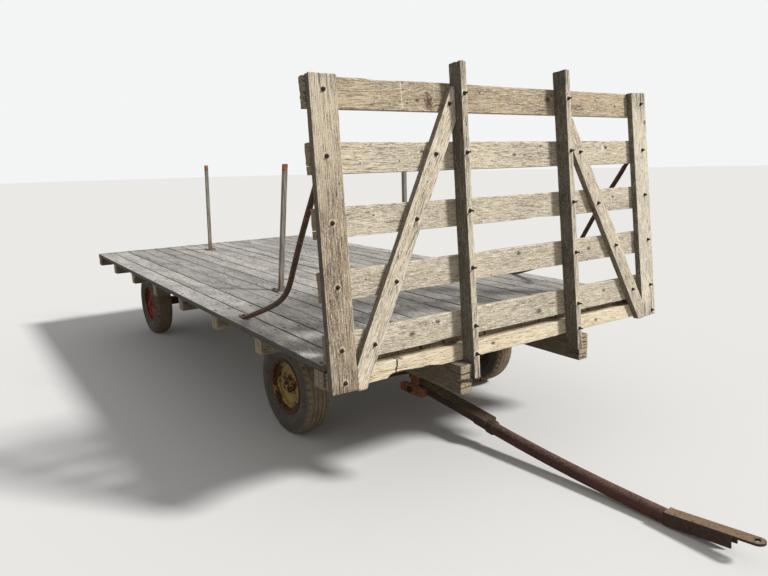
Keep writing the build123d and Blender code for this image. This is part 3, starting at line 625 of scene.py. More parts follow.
# posts: the end ones lie flat on the rails and the middle ones stand on edge; "base" is where the outer edge
# starts, at the low end, and "tilt" is in degrees
endPost = {"wide": 0.137, "drop": 0.124, "rise": 0.003, "base": 1.22, "tilt": {-1: 0.9, 1: 1.8},
           "cells": (120, 11, 3)}
midPost = {"wide": rack["board"], "deep": 0.087, "drop": 0.205, "rise": 0.092,
           "base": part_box("sill_left")[0].y, "tilt": {-1: 1.2, 1: 0.35}, "cells": (130, 4, 7)}
# each post's side tone and side share are painted shade on its faces turned to −Y
endLooks = {-1: {"light": tone(176, 156, 129), "grey": tone(143, 125, 103), "tan": tone(160, 134, 103),
                 "edge": tone(228, 214, 188), "dark": tone(84, 69, 54), "paintedShadeTone": tone(66, 64, 58),
                 "grain": 0.88, "holes": ((-1.093, 0.809), (-1.12, 0.50), (-1.19, 0.30)), "ribShare": 0.35,
                 "ring": 0.009, "spots": 0.8, "dash": 9.0, "topPaleness": 0.75},
            1: {"light": tone(242, 230, 206), "grey": tone(220, 207, 184), "paintedShadeTone": tone(62, 60, 54),
                "paintedShadeShare": 0.92, "knots": ((1.164, 1.102, 0.008),), "holes": ((1.10, 0.50), (1.13, 0.80))}}
midLooks = {-1: {"light": tone(212, 196, 170), "grey": tone(182, 167, 143), "dark": tone(84, 70, 54),
                 "paintedShadeTone": tone(72, 70, 61), "paintedShadeShare": 0.92, "dash": 9.0},
            1: {"light": tone(214, 198, 171), "grey": tone(184, 169, 145), "dark": tone(86, 72, 56),
                "paintedShadeTone": tone(68, 67, 60), "paintedShadeShare": 0.92, "dash": 9.0}}
midSplits = {-1: ((1, 0.004, 0.16, 0.005), (-1, -0.006, 0.20, 0.007)),
             1: ((1, 0.0, 0.12, 0.004), (-1, 0.006, 0.26, 0.008), (-1, -0.009, 0.18, 0.006))}


def postEdge(post, side, up):  # how far left a post's outer edge stands at a height
    return side * (post["base"] - (up + post["drop"]) * math.tan(math.radians(post["tilt"][side])))


def rackPost(name, node, post, side, thick, look, bolts, splits):
    low, top = -post["drop"], rackTop + post["rise"]
    across = math.cos(math.radians(post["tilt"][side]))
    rackBoard(name + sides[side].title(), node, postMiddle(post, side), thick / 2,
              ((top - low) / across, post["wide"] * across, thick), post["cells"],
              math.radians(90 + side * post["tilt"][side]), postWear, look, bolts, splits)


def postMiddle(post, side):
    middleUp = (rackTop + post["rise"] - post["drop"]) / 2
    return (postEdge(post, side, middleUp) - side * post["wide"] / 2, middleUp)


def midBolts(side):  # along the slanting middle line of a middle post
    left, middleUp = postMiddle(midPost, side)
    slope = math.tan(math.radians(midPost["tilt"][side]))
    return [(left - side * (up - middleUp) * slope, up) for up in midBoltUps]


for side, word in sides.items():
    splits = ((1, side * 0.018, 0.24, 0.007), (-1, -side * 0.03, 0.30, 0.008), (1, -side * 0.04, 0.10, 0.004))
    rackPost("endPost", f"post_{word}_end", endPost, side, rack["board"], endLooks[side], endBolts[side],
             splits)
for side, word in sides.items():
    rackPost("midPost", f"post_{word}_middle", midPost, side, midPost["deep"], midLooks[side], midBolts(side),
             midSplits[side])

# diagonals, cut to fit between the end and middle posts
slant = {"wide": 0.092, "long": 1.80, "slope": 27.8, "cross": 0.533, "drop": 0.022, "foot": 0.006,
         "gap": 0.0006, "cells": (150, 8, 3), "edgeUp": 0.5}
slantLooks = {-1: {"light": tone(238, 222, 194), "grey": tone(208, 192, 166),
                   "holes": ((-0.491, 0.994), (-0.60, 0.80))},
              1: {"light": tone(220, 204, 176), "grey": tone(188, 172, 148), "holes": ((0.60, 0.80),)}}
for side, word in sides.items():
    outer = postEdge(endPost, side, slant["cross"]) - side * endPost["wide"]
    inner = postEdge(midPost, side, slant["cross"])
    board = rackBoard(f"diagonal{word.title()}", f"diagonal_{word}", ((outer + inner) / 2, slant["cross"]),
                      rack["board"] / 2, (slant["long"], slant["wide"], rack["board"]), slant["cells"],
                      math.radians(90 + side * slant["slope"]), rackWear, slantLooks[side], slantBolts[side])
    for post, way, gap in ((endPost, side, -endPost["wide"] - slant["gap"]), (midPost, -side, slant["gap"])):
        edge = postEdge(post, side, slant["edgeUp"]) + side * gap
        normal = leftward * way + upWay * way * side * math.tan(math.radians(post["tilt"][side]))
        shaveAt(board, onRack(edge, slant["edgeUp"], 0).to_translation(), normal)
    for up, way in ((rackTop - slant["drop"], upWay), (-endPost["drop"] - slant["foot"], -upWay)):
        shaveAt(board, onRack(0, up, 0).to_translation(), way)
print("rack made")

# deck planks, laid lengthwise and never quite level or equally long
dice = random.Random(41)
planks = {"count": 17, "gap": 0.004, "thick": 0.032, "cells": (150, 7, 2), "uneven": 0.0022, "short": 0.018,
          "narrow": 0.003, "thin": 0.002, "tip": 0.006, "splitShare": 0.55}
deckSize = deckHigh - deckLow
plankPitch = (deckSize.y + planks["gap"]) / planks["count"]
plankWide = plankPitch - planks["gap"]
plankMiddle = Vector(((deckLow.x + deckHigh.x) / 2, 0, deckHigh.z - planks["thick"] / 2))


def plankLeft(row):
    return (row - (planks["count"] - 1) / 2) * plankPitch


laid = []
for row in range(planks["count"]):
    splits = [(end, dice.uniform(-0.05, 0.05), dice.uniform(0.10, 0.42), dice.uniform(0.003, 0.007))
              for end in (-1, 1) if dice.random() < planks["splitShare"]]
    size = (deckSize.x - planks["short"], plankWide - dice.uniform(0, planks["narrow"]),
            planks["thick"] - planks["thin"])
    plank = sawnBoard(f"plank{row}", size, planks["cells"], deckWear, 11 + row * 1.3, splits)
    shift = Vector((dice.uniform(0, 1) * planks["short"] / 2, plankLeft(row),
                    -dice.uniform(0, planks["uneven"])))
    tip = Matrix.Rotation(dice.uniform(-planks["tip"], planks["tip"]), 4, "X")
    settle(plank, Matrix.Translation(plankMiddle + shift) @ tip)
    laid.append(plank)
deck = joined(laid, "deckPlanks")
joists = {"count": 8, "size": joistHigh.z - joistLow.z, "cells": (90, 5, 5), "short": 0.012, "thin": 0.001}
joistPitch = (joistHigh.x - joistLow.x - joists["size"]) / (joists["count"] - 1)
joistAt = [joistLow.x + joists["size"] / 2 + step * joistPitch for step in range(joists["count"])]
nailing = {"offset": 0.045, "radius": 0.0048, "tall": 0.0024, "sunk": 0.0005, "soft": 0.0009, "kept": 0.93,
           "off": (0.006, 0.003)}
# the deck's side tone is painted shade on plank faces turned to −Y
deckLook = dict(woodBase, place=Matrix.Translation(plankMiddle),
                size=(deckSize.x, plankWide, planks["thick"]), seed=5, repeat=(planks["count"], plankPitch),
                light=tone(206, 200, 192), grey=tone(152, 150, 147), paintedShadeTone=tone(96, 95, 92),
                tan=tone(184, 170, 150), dark=tone(88, 83, 78), edge=tone(224, 218, 208), grain=0.85,
                jointDark=0.7, nails=(joistPitch, joistAt[0] - plankMiddle.x, nailing["offset"]),
                knots=((0.85, 0.03, 0.010), (-1.2, -0.03, 0.012)))
dress(deck, "wagon", "deck_wood", agedWood("deckBoards", deckLook), "deck_planks")

# two rusty nails where each plank crosses a joist
bpy.ops.mesh.primitive_cylinder_add(vertices=8, radius=nailing["radius"], depth=nailing["tall"])
nail = bpy.context.object
soften(nail, nailing["soft"], 1)
places = []
for x in joistAt:
    for row in range(planks["count"]):
        for half in (-1, 1):
            if dice.random() < nailing["kept"]:
                y = plankLeft(row) + half * nailing["offset"]
                off = [dice.uniform(-most, most) for most in nailing["off"]]
                places.append(Matrix.Translation((x + off[0], y + off[1], deckHigh.z - nailing["sunk"])))
nails = copies(nail, places, "deckNails")
bpy.data.objects.remove(nail)

# joists and sills
joistMiddle = (joistLow + joistHigh) / 2
joistLong = joistHigh.y - joistLow.y
crossways = []
for step, x in enumerate(joistAt):
    splits = ((-1, 0.012 - 0.004 * (step % 4), 0.12 + 0.03 * (step % 3), 0.005), (1, -0.01, 0.10, 0.004))
    thick = joists["size"] - joists["thin"]
    size = (joistLong - joists["short"], thick, thick)
    joist = sawnBoard(f"joist{step}", size, joists["cells"], beamWear, 31 + step, splits)
    spot = Vector((x, dice.uniform(-0.004, 0.004), joistMiddle.z))
    settle(joist, turned(leftward, forward, downward, spot))
    crossways.append(joist)
joistLook = dict(woodBase, place=turned(leftward, forward, downward, joistMiddle), seed=9,
                 size=(joistLong, joists["size"], joists["size"]), repeat=(joists["count"], joistPitch),
                 light=tone(170, 157, 134), grey=tone(136, 124, 105), edge=tone(196, 183, 158),
                 tan=tone(154, 132, 102), dark=tone(78, 66, 52), endLight=tone(186, 172, 146),
                 endDark=tone(116, 102, 82))
dress(joined(crossways, "crossJoists"), "wagon", "frame_wood", agedWood("joistTimber", joistLook),
      "cross_joists")
sillSplits = ((1, 0.03, 0.24, 0.009), (1, -0.042, 0.16, 0.007), (1, -0.008, 0.11, 0.006),
              (-1, 0.01, 0.2, 0.006))
moreSplits = {-1: (), 1: ((1, 0.056, 0.13, 0.010), (1, -0.062, 0.09, 0.009), (1, 0.012, 0.3, 0.005))}
sills = {"short": 0.006, "cells": (170, 7, 4)}
for side, word in sides.items():
    low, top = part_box(f"sill_{word}")
    size = (top.x - low.x - sills["short"], top.z - low.z, top.y - low.y)
    place = turned(forward, upward, rightward, (low + top) / 2)
    sill = sawnBoard(f"sillTimber{word.title()}", size, sills["cells"], beamWear, 51 + side,
                     sillSplits + moreSplits[side])
    settle(sill, place)
    # the sill's tones are painted darker as shade under the deck, and its side tone and share darken its
    # faces turned to −Y further as painted shade
    sillLook = dict(woodBase, place=place, size=size, seed=13 + side, light=tone(160, 146, 122),
                    grey=tone(126, 113, 94), paintedShadeTone=tone(92, 82, 68), paintedShadeShare=0.7,
                    edge=tone(186, 172, 146), tan=tone(138, 114, 84), dark=tone(66, 54, 42),
                    endLight=tone(206, 190, 158), endDark=tone(140, 122, 96))
    dress(sill, "wagon", "frame_wood", agedWood(sill.name, sillLook), f"sill_{word}")
print("deck and frame timbers made")


# Rusted steel: brown scale, orange bloom, darker pits, and dust where it faces up, which on some parts is
# also a painted sunlit top
def rustySteel(name, **changes):
    look = dict(rust, **changes)
    steel = Finish(name)
    big = steel.cloud(steel.place, look["blotch"], 4.0, 0.6)
    fine = steel.cloud(steel.place, 75.0, 4.0, 0.7)
    speck = steel.cloud(steel.place, 330.0, 2.0, 0.6)
    pits = steel.node("ShaderNodeTexVoronoi", {"feature": "F1"}, {"Vector": steel.place, "Scale": 160.0})
    pit = pits.out("Distance").smooth(0.34, 0.10) * fine.smooth(0.48, 0.62)
    colour = steel.mix(big.smooth(0.36, 0.64), look["brown"], look["dark"])
    colour = steel.mix((fine * 0.65 + big * 0.35).smooth(0.50, 0.62) * look["bloom"], colour, look["orange"])
    colour = steel.mix(speck.smooth(0.56, 0.74) * 0.5, colour, look["pale"])
    colour = steel.mix(pit * 0.8, colour, look["pit"])
    # faces turned up take dust; on the swivel, channel and pipe its pale tone is also painted sunlight on
    # their tops
    facingUp = steel.parts(steel.normal)[2].smooth(0.35, 0.95)
    dust = look["dustTone"]
    if "paleEnd" in look:  # paler towards the wagon: dust, and painted sunlight on the channel's top
        dust = steel.mix(steel.parts(steel.place)[0].smooth(1.45, 1.0), dust, look["paleEnd"])
    colour = steel.mix(facingUp * fine.smooth(look["bare"], look["bare"] + 0.25) * look["dust"], colour, dust)
    height = fine * 0.6 + big * 0.3 - pit * 0.8 + speck * 0.25
    return steel.use(colour, 0.72 + fine * 0.24, height, 0.0016, 0.7, 0.15)


rust = {"blotch": 9.0, "bloom": 0.8, "dust": 0.28, "bare": 0.35, "dustTone": tone(150, 132, 108),
        "brown": tone(96, 62, 46), "dark": tone(58, 42, 36), "orange": tone(138, 78, 44),
        "pale": tone(134, 104, 84), "pit": tone(34, 24, 20)}
gearSteel = rustySteel("gearSteel")
# the swivel's tones are painted paler than its rust as painted sunlight, and its pale top is a painted sunlit
# top
swivelSteelPaintedSun = rustySteel("swivelSteelPaintedSun", bloom=1.0, dust=0.95, dustTone=tone(236, 192, 138),
                         brown=tone(160, 104, 70), dark=tone(84, 56, 42), orange=tone(214, 140, 80),
                         pale=tone(214, 164, 120))
# the channel's brown and dark tones are painted darker as shade on its sides, and its top grows paler towards
# the wagon as dust and painted sunlight
channelSteel = rustySteel("channelSteel", blotch=7.0, bloom=0.4, dust=0.8, dustTone=tone(90, 72, 54),
                          paleEnd=tone(158, 144, 108), brown=tone(66, 48, 38), dark=tone(42, 33, 28),
                          orange=tone(104, 66, 44))
# the pipe's pale top is dust and a painted highlight along the pipe's top
pipeSteel = rustySteel("pipeSteel", blotch=6.0, bloom=0.45, dust=0.6, dustTone=tone(134, 106, 97),
                       brown=tone(86, 52, 43), dark=tone(50, 35, 31), orange=tone(116, 68, 50),
                       pale=tone(138, 106, 94))
hitchSteel = rustySteel("hitchSteel", blotch=11.0, bloom=0.4, dust=0.85, bare=0.28,
                        dustTone=tone(150, 123, 98), brown=tone(70, 50, 43), dark=tone(46, 35, 32),
                        orange=tone(112, 74, 54))
braceSteel = rustySteel("braceSteel", blotch=16.0, dust=0.6, dustTone=tone(158, 142, 120),
                        brown=tone(78, 55, 41), dark=tone(40, 31, 27), orange=tone(146, 100, 66))
boltSteel = rustySteel("boltSteel", blotch=40.0, dust=0.1, brown=tone(74, 50, 38), dark=tone(42, 32, 28),
                       orange=tone(112, 66, 40))
dress(nails, "wagon", "rusty_steel", boltSteel)
gearNodes = ("front_axle", "rear_axle", "front_bolster", "rear_bolster", "reach_pole", "front_hounds",
             "rear_hounds", "knuckle_right", "knuckle_left", "tie_rod_right", "tie_rod_left")
finishes = dict.fromkeys(gearNodes, gearSteel)
finishes.update(drawbar_swivel=swivelSteelPaintedSun, tongue_channel=channelSteel, tongue_pipe=pipeSteel,
                hitch_strap_upper=hitchSteel, hitch_strap_lower=hitchSteel)
for node, finish in finishes.items():
    frame["nodes"][node].data.materials.clear()
    frame["nodes"][node].data.materials.append(finish)

# the rack's bolts: a washer, a worn nut and the bolt's end in front, a domed head behind
bolt = {"washer": 0.0104, "nut": 0.0082, "washerTop": 0.0022, "nutTop": 0.0098, "rod": 0.0044, "stick": 0.016,
        "head": 0.0110, "under": 0.001, "headFoot": 0.0008}


def shapeBolt(stick):
    return nutStack((20, bolt["washer"], -bolt["under"], bolt["washerTop"], 0.0006),
                    (6, bolt["nut"], bolt["washerTop"], bolt["nutTop"], 0.0010),
                    (12, bolt["rod"], 0.0, bolt["nutTop"] + stick, 0.0010))


def shapeHead():
    bpy.ops.mesh.primitive_uv_sphere_add(segments=16, ring_count=8, radius=bolt["head"])
    piece = bpy.context.object
    piece.scale = (1, 1, 0.5)
    bpy.ops.object.transform_apply(scale=True)
    shaveAt(piece, (0, 0, -bolt["headFoot"]), downward)
    return smoothed(piece, 40)


shortBolt, longBolt, domedHead = shapeBolt(bolt["stick"] * 0.5), shapeBolt(bolt["stick"]), shapeHead()
fronts, edges, backs = [], [], []
flip = Matrix.Rotation(math.pi, 4, "X")
for side in sides:
    for left, up in endBolts[side] + slantBolts[side]:
        spin = Matrix.Rotation(dice.uniform(0, 3), 4, "Z")
        tip = Matrix.Rotation(dice.uniform(-0.05, 0.05), 4, "X")
        fronts.append(onRack(left, up, rack["board"]) @ tip @ spin)
        backs.append(onRack(left, up, -rack["board"]) @ flip)
    for left, up in midBolts(side):
        edges.append(onRack(left, up, midPost["deep"]) @ Matrix.Rotation(dice.uniform(-0.12, 0.12), 4, "Y"))
        backs.append(onRack(left, up, -rack["board"]) @ flip)
rackSets = ((shortBolt, fronts, "rackBolts"), (longBolt, edges, "postBolts"),
            (domedHead, backs, "boltHeads"))
for model, spots, name in rackSets:
    dress(copies(model, spots, name), "wagon", "rusty_steel", boltSteel)
    bpy.data.objects.remove(model)
print("steel finished and bolts placed")


# Wheels. Each profile is drawn outward along the axle and away from it, then spun.
def spun(name, profile, steps, soft=0.0):
    mesh = bpy.data.meshes.new(name)
    count = len(profile)
    ring = [(step, (step + 1) % count) for step in range(count)]
    mesh.from_pydata([(out, 0, away) for out, away in profile], ring, [])
    piece = placed(name, mesh)
    openMesh(piece)
    bpy.ops.mesh.spin(steps=steps, angle=2 * math.pi, center=(0, 0, 0), axis=(1, 0, 0))
    closeMesh(mend=True)
    if soft:
        soften(piece, soft, angle_limit=math.radians(28))
    return smoothed(piece, 32)


tyre = {"steps": 120, "grooves": (-0.044, -0.0155, 0.0155, 0.044), "grooveHalf": 0.0030, "grooveDeep": 0.0065,
        "zigzag": 0.0024, "crown": 0.315, "tread": 0.0685, "tooth": 3, "notch": 0.0055, "shoulder": 0.0575,
        "rib": 0.0142, "grooved": 0.052, "face": 0.299, "edge": 0.2985, "crownDrop": 0.0045,
        "edgeDrop": 0.006}
tyreSide = [(0.0655, 0.1688), (0.0660, 0.1835), (0.0668, 0.1895), (0.0715, 0.1945), (0.0728, 0.1962),
            (0.0730, 0.2000), (0.0762, 0.2060), (0.0815, 0.2160), (0.0862, 0.2280), (0.0885, 0.2392),
            (0.0893, 0.2402), (0.0893, 0.2440), (0.0883, 0.2452), (0.0872, 0.2560), (0.0848, 0.2680),
            (0.0815, 0.2775), (0.0823, 0.2792), (0.0792, 0.2885), (0.0755, 0.2972), (0.0722, 0.3030)]
tyreInner = [(-0.052, 0.1688), (-0.053, 0.188), (-0.072, 0.2415), (-0.060, 0.284)]


def mirrored(profile):
    return [(-out, away) for out, away in reversed(profile)]


def treadAway(out):  # the tread is slightly crowned
    aside = abs(out) / tyre["tread"]
    return tyre["crown"] - tyre["crownDrop"] * aside ** 2 - tyre["edgeDrop"] * aside ** 8


def shapeTyre():
    half, deep = tyre["grooveHalf"], tyre["grooveDeep"]
    outs = [(tyre["tread"], 0), (tyre["shoulder"], 0)]
    for middle in reversed(tyre["grooves"]):
        outs += [(middle + half, 0), (middle + half * 0.6, deep), (middle - half * 0.6, deep),
                 (middle - half, 0)]
        if middle > min(tyre["grooves"]):
            outs.append((middle - tyre["rib"], 0))
    outs += [(-tyre["shoulder"], 0), (-tyre["tread"], 0)]
    tread = [(out, treadAway(out) - down) for out, down in outs]
    profile = tyreSide + tread + mirrored(tyreSide) + tyreInner + [(0, 0.300)] + mirrored(tyreInner)
    piece = spun("tyreModel", profile, tyre["steps"])
    turn = 2 * math.pi / tyre["steps"]
    for point in piece.data.vertices:  # the grooves zigzag
        if math.hypot(point.co.y, point.co.z) > tyre["face"] and abs(point.co.x) < tyre["grooved"]:
            step = round(math.atan2(point.co.y, point.co.z) / turn)
            point.co.x += tyre["zigzag"] * (1 if step % 4 < 2 else -1)
    bpy.ops.object.mode_set(mode="EDIT")
    bpy.ops.mesh.select_mode(type="FACE")
    bpy.ops.mesh.select_all(action="DESELECT")
    bpy.ops.object.mode_set(mode="OBJECT")
    for face in piece.data.polygons:  # notches across both shoulders
        away = math.hypot(face.center.y, face.center.z)
        step = math.floor(math.atan2(face.center.y, face.center.z) / turn + 1000)
        outside = abs(face.center.x) > tyre["shoulder"] + 0.0005
        face.select = away > tyre["edge"] and outside and step % tyre["tooth"] == 0
    bpy.ops.object.mode_set(mode="EDIT")
    bpy.ops.mesh.extrude_region_shrink_fatten(TRANSFORM_OT_shrink_fatten={"value": -tyre["notch"]})
    bpy.ops.mesh.select_mode(type="VERT")
    bpy.ops.object.mode_set(mode="OBJECT")
    return piece


rimHalf = [(0.0330, 0.1462), (0.0360, 0.1560), (0.0420, 0.1676), (0.0620, 0.1682), (0.0655, 0.1702),
           (0.0662, 0.1820), (0.0700, 0.1820)]
rimWell = [(0.0716, 0.1800), (0.0700, 0.1662), (0.0640, 0.1636), (0.0450, 0.1634), (0.0390, 0.1520),
           (0.0355, 0.1424)]
rimDisc = [(0.0262, 0.1420), (0.0255, 0.1340), (0.0288, 0.1240), (0.0305, 0.1140), (0.0290, 0.1030),
           (0.0255, 0.0930), (0.0240, 0.0850), (0.0240, 0.0412), (0.0180, 0.0406), (0.0180, 0.0860),
           (0.0195, 0.0950), (0.0230, 0.1040), (0.0245, 0.1140), (0.0230, 0.1230), (0.0195, 0.1330),
           (0.0130, 0.1420)]
hubSide = [(-0.046, 0.0191), (-0.046, 0.0390), (-0.0445, 0.0402), (0.009, 0.0402), (0.009, 0.0770),
           (0.0100, 0.0780), (0.0176, 0.0780), (0.0179, 0.0400), (0.030, 0.0395), (0.0480, 0.0345),
           (0.0500, 0.0330), (0.0505, 0.0285), (0.0515, 0.0272), (0.0660, 0.0266), (0.0705, 0.0250),
           (0.0735, 0.0215), (0.0752, 0.0150), (0.0758, 0.0060), (0.0759, 0.0004), (0.0720, 0.0004),
           (0.0720, 0.0191)]
hub = {"steps": 48, "soft": 0.0006, "nuts": 5, "nutCircle": 0.0572, "first": 0.25, "spin": 0.7,
       "bars": ((6, 0.0115, 0.0238, 0.0350, 0.0016), (12, 0.0058, 0.0238, 0.0415, 0.0012),
                (16, 0.01288, 0.0236, 0.0262, 0.0006))}


def shapeHub():
    made = [spun("hubModel", hubSide, hub["steps"], hub["soft"])]
    for count in range(hub["nuts"]):
        angle = 2 * math.pi * (count + hub["first"]) / hub["nuts"]
        centre = Vector((0, math.cos(angle), math.sin(angle))) * hub["nutCircle"]
        for corners, radius, low, top, soft in hub["bars"]:
            bpy.ops.mesh.primitive_cylinder_add(vertices=corners, radius=radius, depth=top - low,
                                                location=((low + top) / 2, centre.y, centre.z),
                                                rotation=(count * hub["spin"], math.pi / 2, 0))
            piece = bpy.context.object
            bpy.ops.object.transform_apply(location=True, rotation=True)
            soften(piece, soft)
            made.append(piece)
    return joined(made, "hubModel")


valve = {"radius": 0.0042, "long": 0.034, "foot": 1.7, "cap": (14, 0.0052, 0.0135, 0.0225, 0.001),
         "place": (0.047, 0, 0.1500), "slope": 152}


def shapeValve():  # a short rubber valve stem with a cap, through the rim's well
    bpy.ops.mesh.primitive_cylinder_add(vertices=14, radius=valve["radius"], depth=valve["long"])
    stem = bpy.context.object
    for point in stem.data.vertices:
        if point.co.z < 0:
            point.co.x *= valve["foot"]
            point.co.y *= valve["foot"]
    piece = joined([stem, upright(*valve["cap"])], "valveModel")
    slope = Matrix.Rotation(math.radians(valve["slope"]), 4, "Y")
    piece.data.transform(Matrix.Translation(valve["place"]) @ slope)
    return piece


def oldRubber(name, place):
    rubber = Finish(name)
    out, y, z = rubber.parts(rubber.local(place))
    away = (y * y + z * z) ** 0.5
    big = rubber.cloud(rubber.place, 8.0, 3.0, 0.6)
    fine = rubber.cloud(rubber.place, 110.0, 4.0, 0.7)
    cracks = rubber.node("ShaderNodeTexVoronoi", {"feature": "DISTANCE_TO_EDGE"},
                         {"Vector": rubber.spot(out * 2.4, y, z), "Scale": 52.0})
    crack = cracks.out("Distance").smooth(0.035, 0.004) * big.smooth(0.42, 0.6)
    rings = (away * 3000).wave() * 0.5 + 0.5
    sidewall = away.smooth(0.298, 0.282)
    colour = rubber.mix(big.smooth(0.35, 0.65), tone(66, 63, 60), tone(88, 83, 77))
    dust = away.smooth(0.282, 0.306) * (0.45 + big.smooth(0.35, 0.6) * 0.4) + fine.smooth(0.45, 0.65) * 0.32
    colour = rubber.mix(dust.least(1.0), colour, tone(150, 133, 106))
    colour = rubber.mix(crack * 0.8, colour, tone(30, 28, 26))
    height = fine * 0.5 - crack * 1.2 + rings * sidewall * 0.10
    return rubber.use(colour, 0.86 + fine * 0.1, height, 0.0014, 0.7)


def chippedPaint(name, place, look):
    coat = Finish(name)
    local = coat.local(place)
    out, y, z = coat.parts(local)
    away = (y * y + z * z) ** 0.5
    big = coat.cloud(local, look["blotch"], 4.0, 0.6)
    fine = coat.cloud(local, 62.0, 5.0, 0.7)
    speck = coat.cloud(local, 260.0, 2.0, 0.6)
    lipRust = away.smooth(0.130, 0.172) * 0.16 + away.smooth(0.075, 0.045) * 0.12
    worn = big * 0.55 + fine * 0.45 + lipRust
    chip = worn.smooth(look["chipAt"], look["chipAt"] + 0.02)
    halo = worn.smooth(look["chipAt"] - 0.07, look["chipAt"])
    grime = coat.cloud(coat.spot(out * 20, y * 60, z * 8), 1.0, 4.0, 0.65).smooth(0.50, 0.66)
    paint = coat.mix(big.smooth(0.38, 0.66), look["paint"], look["faded"])
    paint = coat.mix(fine.smooth(0.42, 0.7) * 0.35, paint, look["dirt"])
    paint = coat.mix(halo * 0.5, paint, tone(120, 74, 40))
    paint = coat.mix(grime * 0.6, paint, tone(84, 70, 50))
    metal = coat.mix(fine.smooth(0.40, 0.62), tone(98, 58, 38), tone(62, 42, 34))
    metal = coat.mix(speck.smooth(0.54, 0.7) * 0.5, metal, tone(142, 88, 52))
    height = fine * 0.3 + speck * 0.2 * chip - chip * 0.6
    return coat.use(coat.mix(chip, paint, metal), 0.55 + chip * 0.3 + fine * 0.1, height, 0.0012, 0.7,
                    chip * 0.15)


coats = {"front": {"slot": "yellow_paint", "paint": tone(172, 146, 66), "faded": tone(146, 130, 80),
                   "dirt": tone(104, 90, 60), "chipAt": 0.565, "blotch": 9.0},
         "rear": {"slot": "red_paint", "paint": tone(158, 40, 32), "faded": tone(142, 62, 52),
                  "dirt": tone(96, 58, 48), "chipAt": 0.60, "blotch": 8.0}}
rimSide = mirrored(rimHalf) + rimHalf + rimWell + rimDisc + mirrored(rimWell)
models = {"tyre": shapeTyre(), "rim": spun("rimModel", rimSide, 96), "hub": shapeHub(), "valve": shapeValve()}
for corner in ("front_right", "front_left", "rear_right", "rear_left"):
    end, word = corner.split("_")
    side = -1 if word == "right" else 1
    spinWay = jointAxis[f"wheel_{corner}_spin"].normalized()
    outWay = spinWay * (1 if spinWay.y * side > 0 else -1)
    place = turned(outWay, upward.cross(outWay), upward, jointAt[f"wheel_{corner}_spin"])
    spin = place @ Matrix.Rotation(dice.uniform(0, fullTurn), 4, "X")
    plain = end.title() + word.title()
    paint, rubber = chippedPaint("rimPaint" + plain, place, coats[end]), oldRubber("rubber" + plain, place)
    for kind, finish, slot in (("tyre", rubber, "tyre"), ("rim", paint, coats[end]["slot"]),
                               ("hub", paint, coats[end]["slot"]), ("valve", rubber, "tyre")):
        nodes = () if kind == "valve" else (f"{kind}_{corner}",)
        dress(copies(models[kind], [spin], kind + plain), f"wheel_{corner}", slot, finish, *nodes)
for model in models.values():
    bpy.data.objects.remove(model)
print("wheels made")


# Bent pipe, rods and weld beads follow one smooth line each
def alongLine(name, spots, radius, around=5):
    curve = bpy.data.curves.new(name, "CURVE")
    curve.dimensions = "3D"
    curve.bevel_depth, curve.bevel_resolution = radius, around
    curve.resolution_u, curve.use_fill_caps = 14, True
    line = curve.splines.new("NURBS")
    line.points.add(len(spots) - 1)
    for point, spot in zip(line.points, spots):
        point.co = (*spot, 1)
    line.order_u, line.use_endpoint_u = 3, True
    placed(name, curve)
    bpy.ops.object.convert(target="MESH")
    piece = bpy.context.object
    openMesh(piece)
    closeMesh(mend=True)
    return smoothed(piece, 50)


def weldBead(spots, radius, seed, size=0.006, depth=0.0026):
    bead = alongLine("bead", spots, radius, 3)
    roughen(bead, size, depth, 1.0, seed)
    return bead


def hexNut(corner, tall, rod, stick, washer=1.3):  # a nut stack of any size, on a thin washer
    return nutStack((20, corner * washer, -0.0006, 0.0020, 0.0005), (6, corner, 0.0020, tall, corner * 0.12),
                    (14, rod, 0.0, tall + stick, rod * 0.25))


def pointed(spot, way, spin=0.0):  # a place whose third way is given
    facing = Vector(way).to_track_quat("Z", "Y").to_matrix().to_4x4()
    return Matrix.Translation(spot) @ facing @ Matrix.Rotation(spin, 4, "Z")


def share(value, full):  # from 0 to 1 over a stretch
    return max(0.0, min(1.0, value / full))


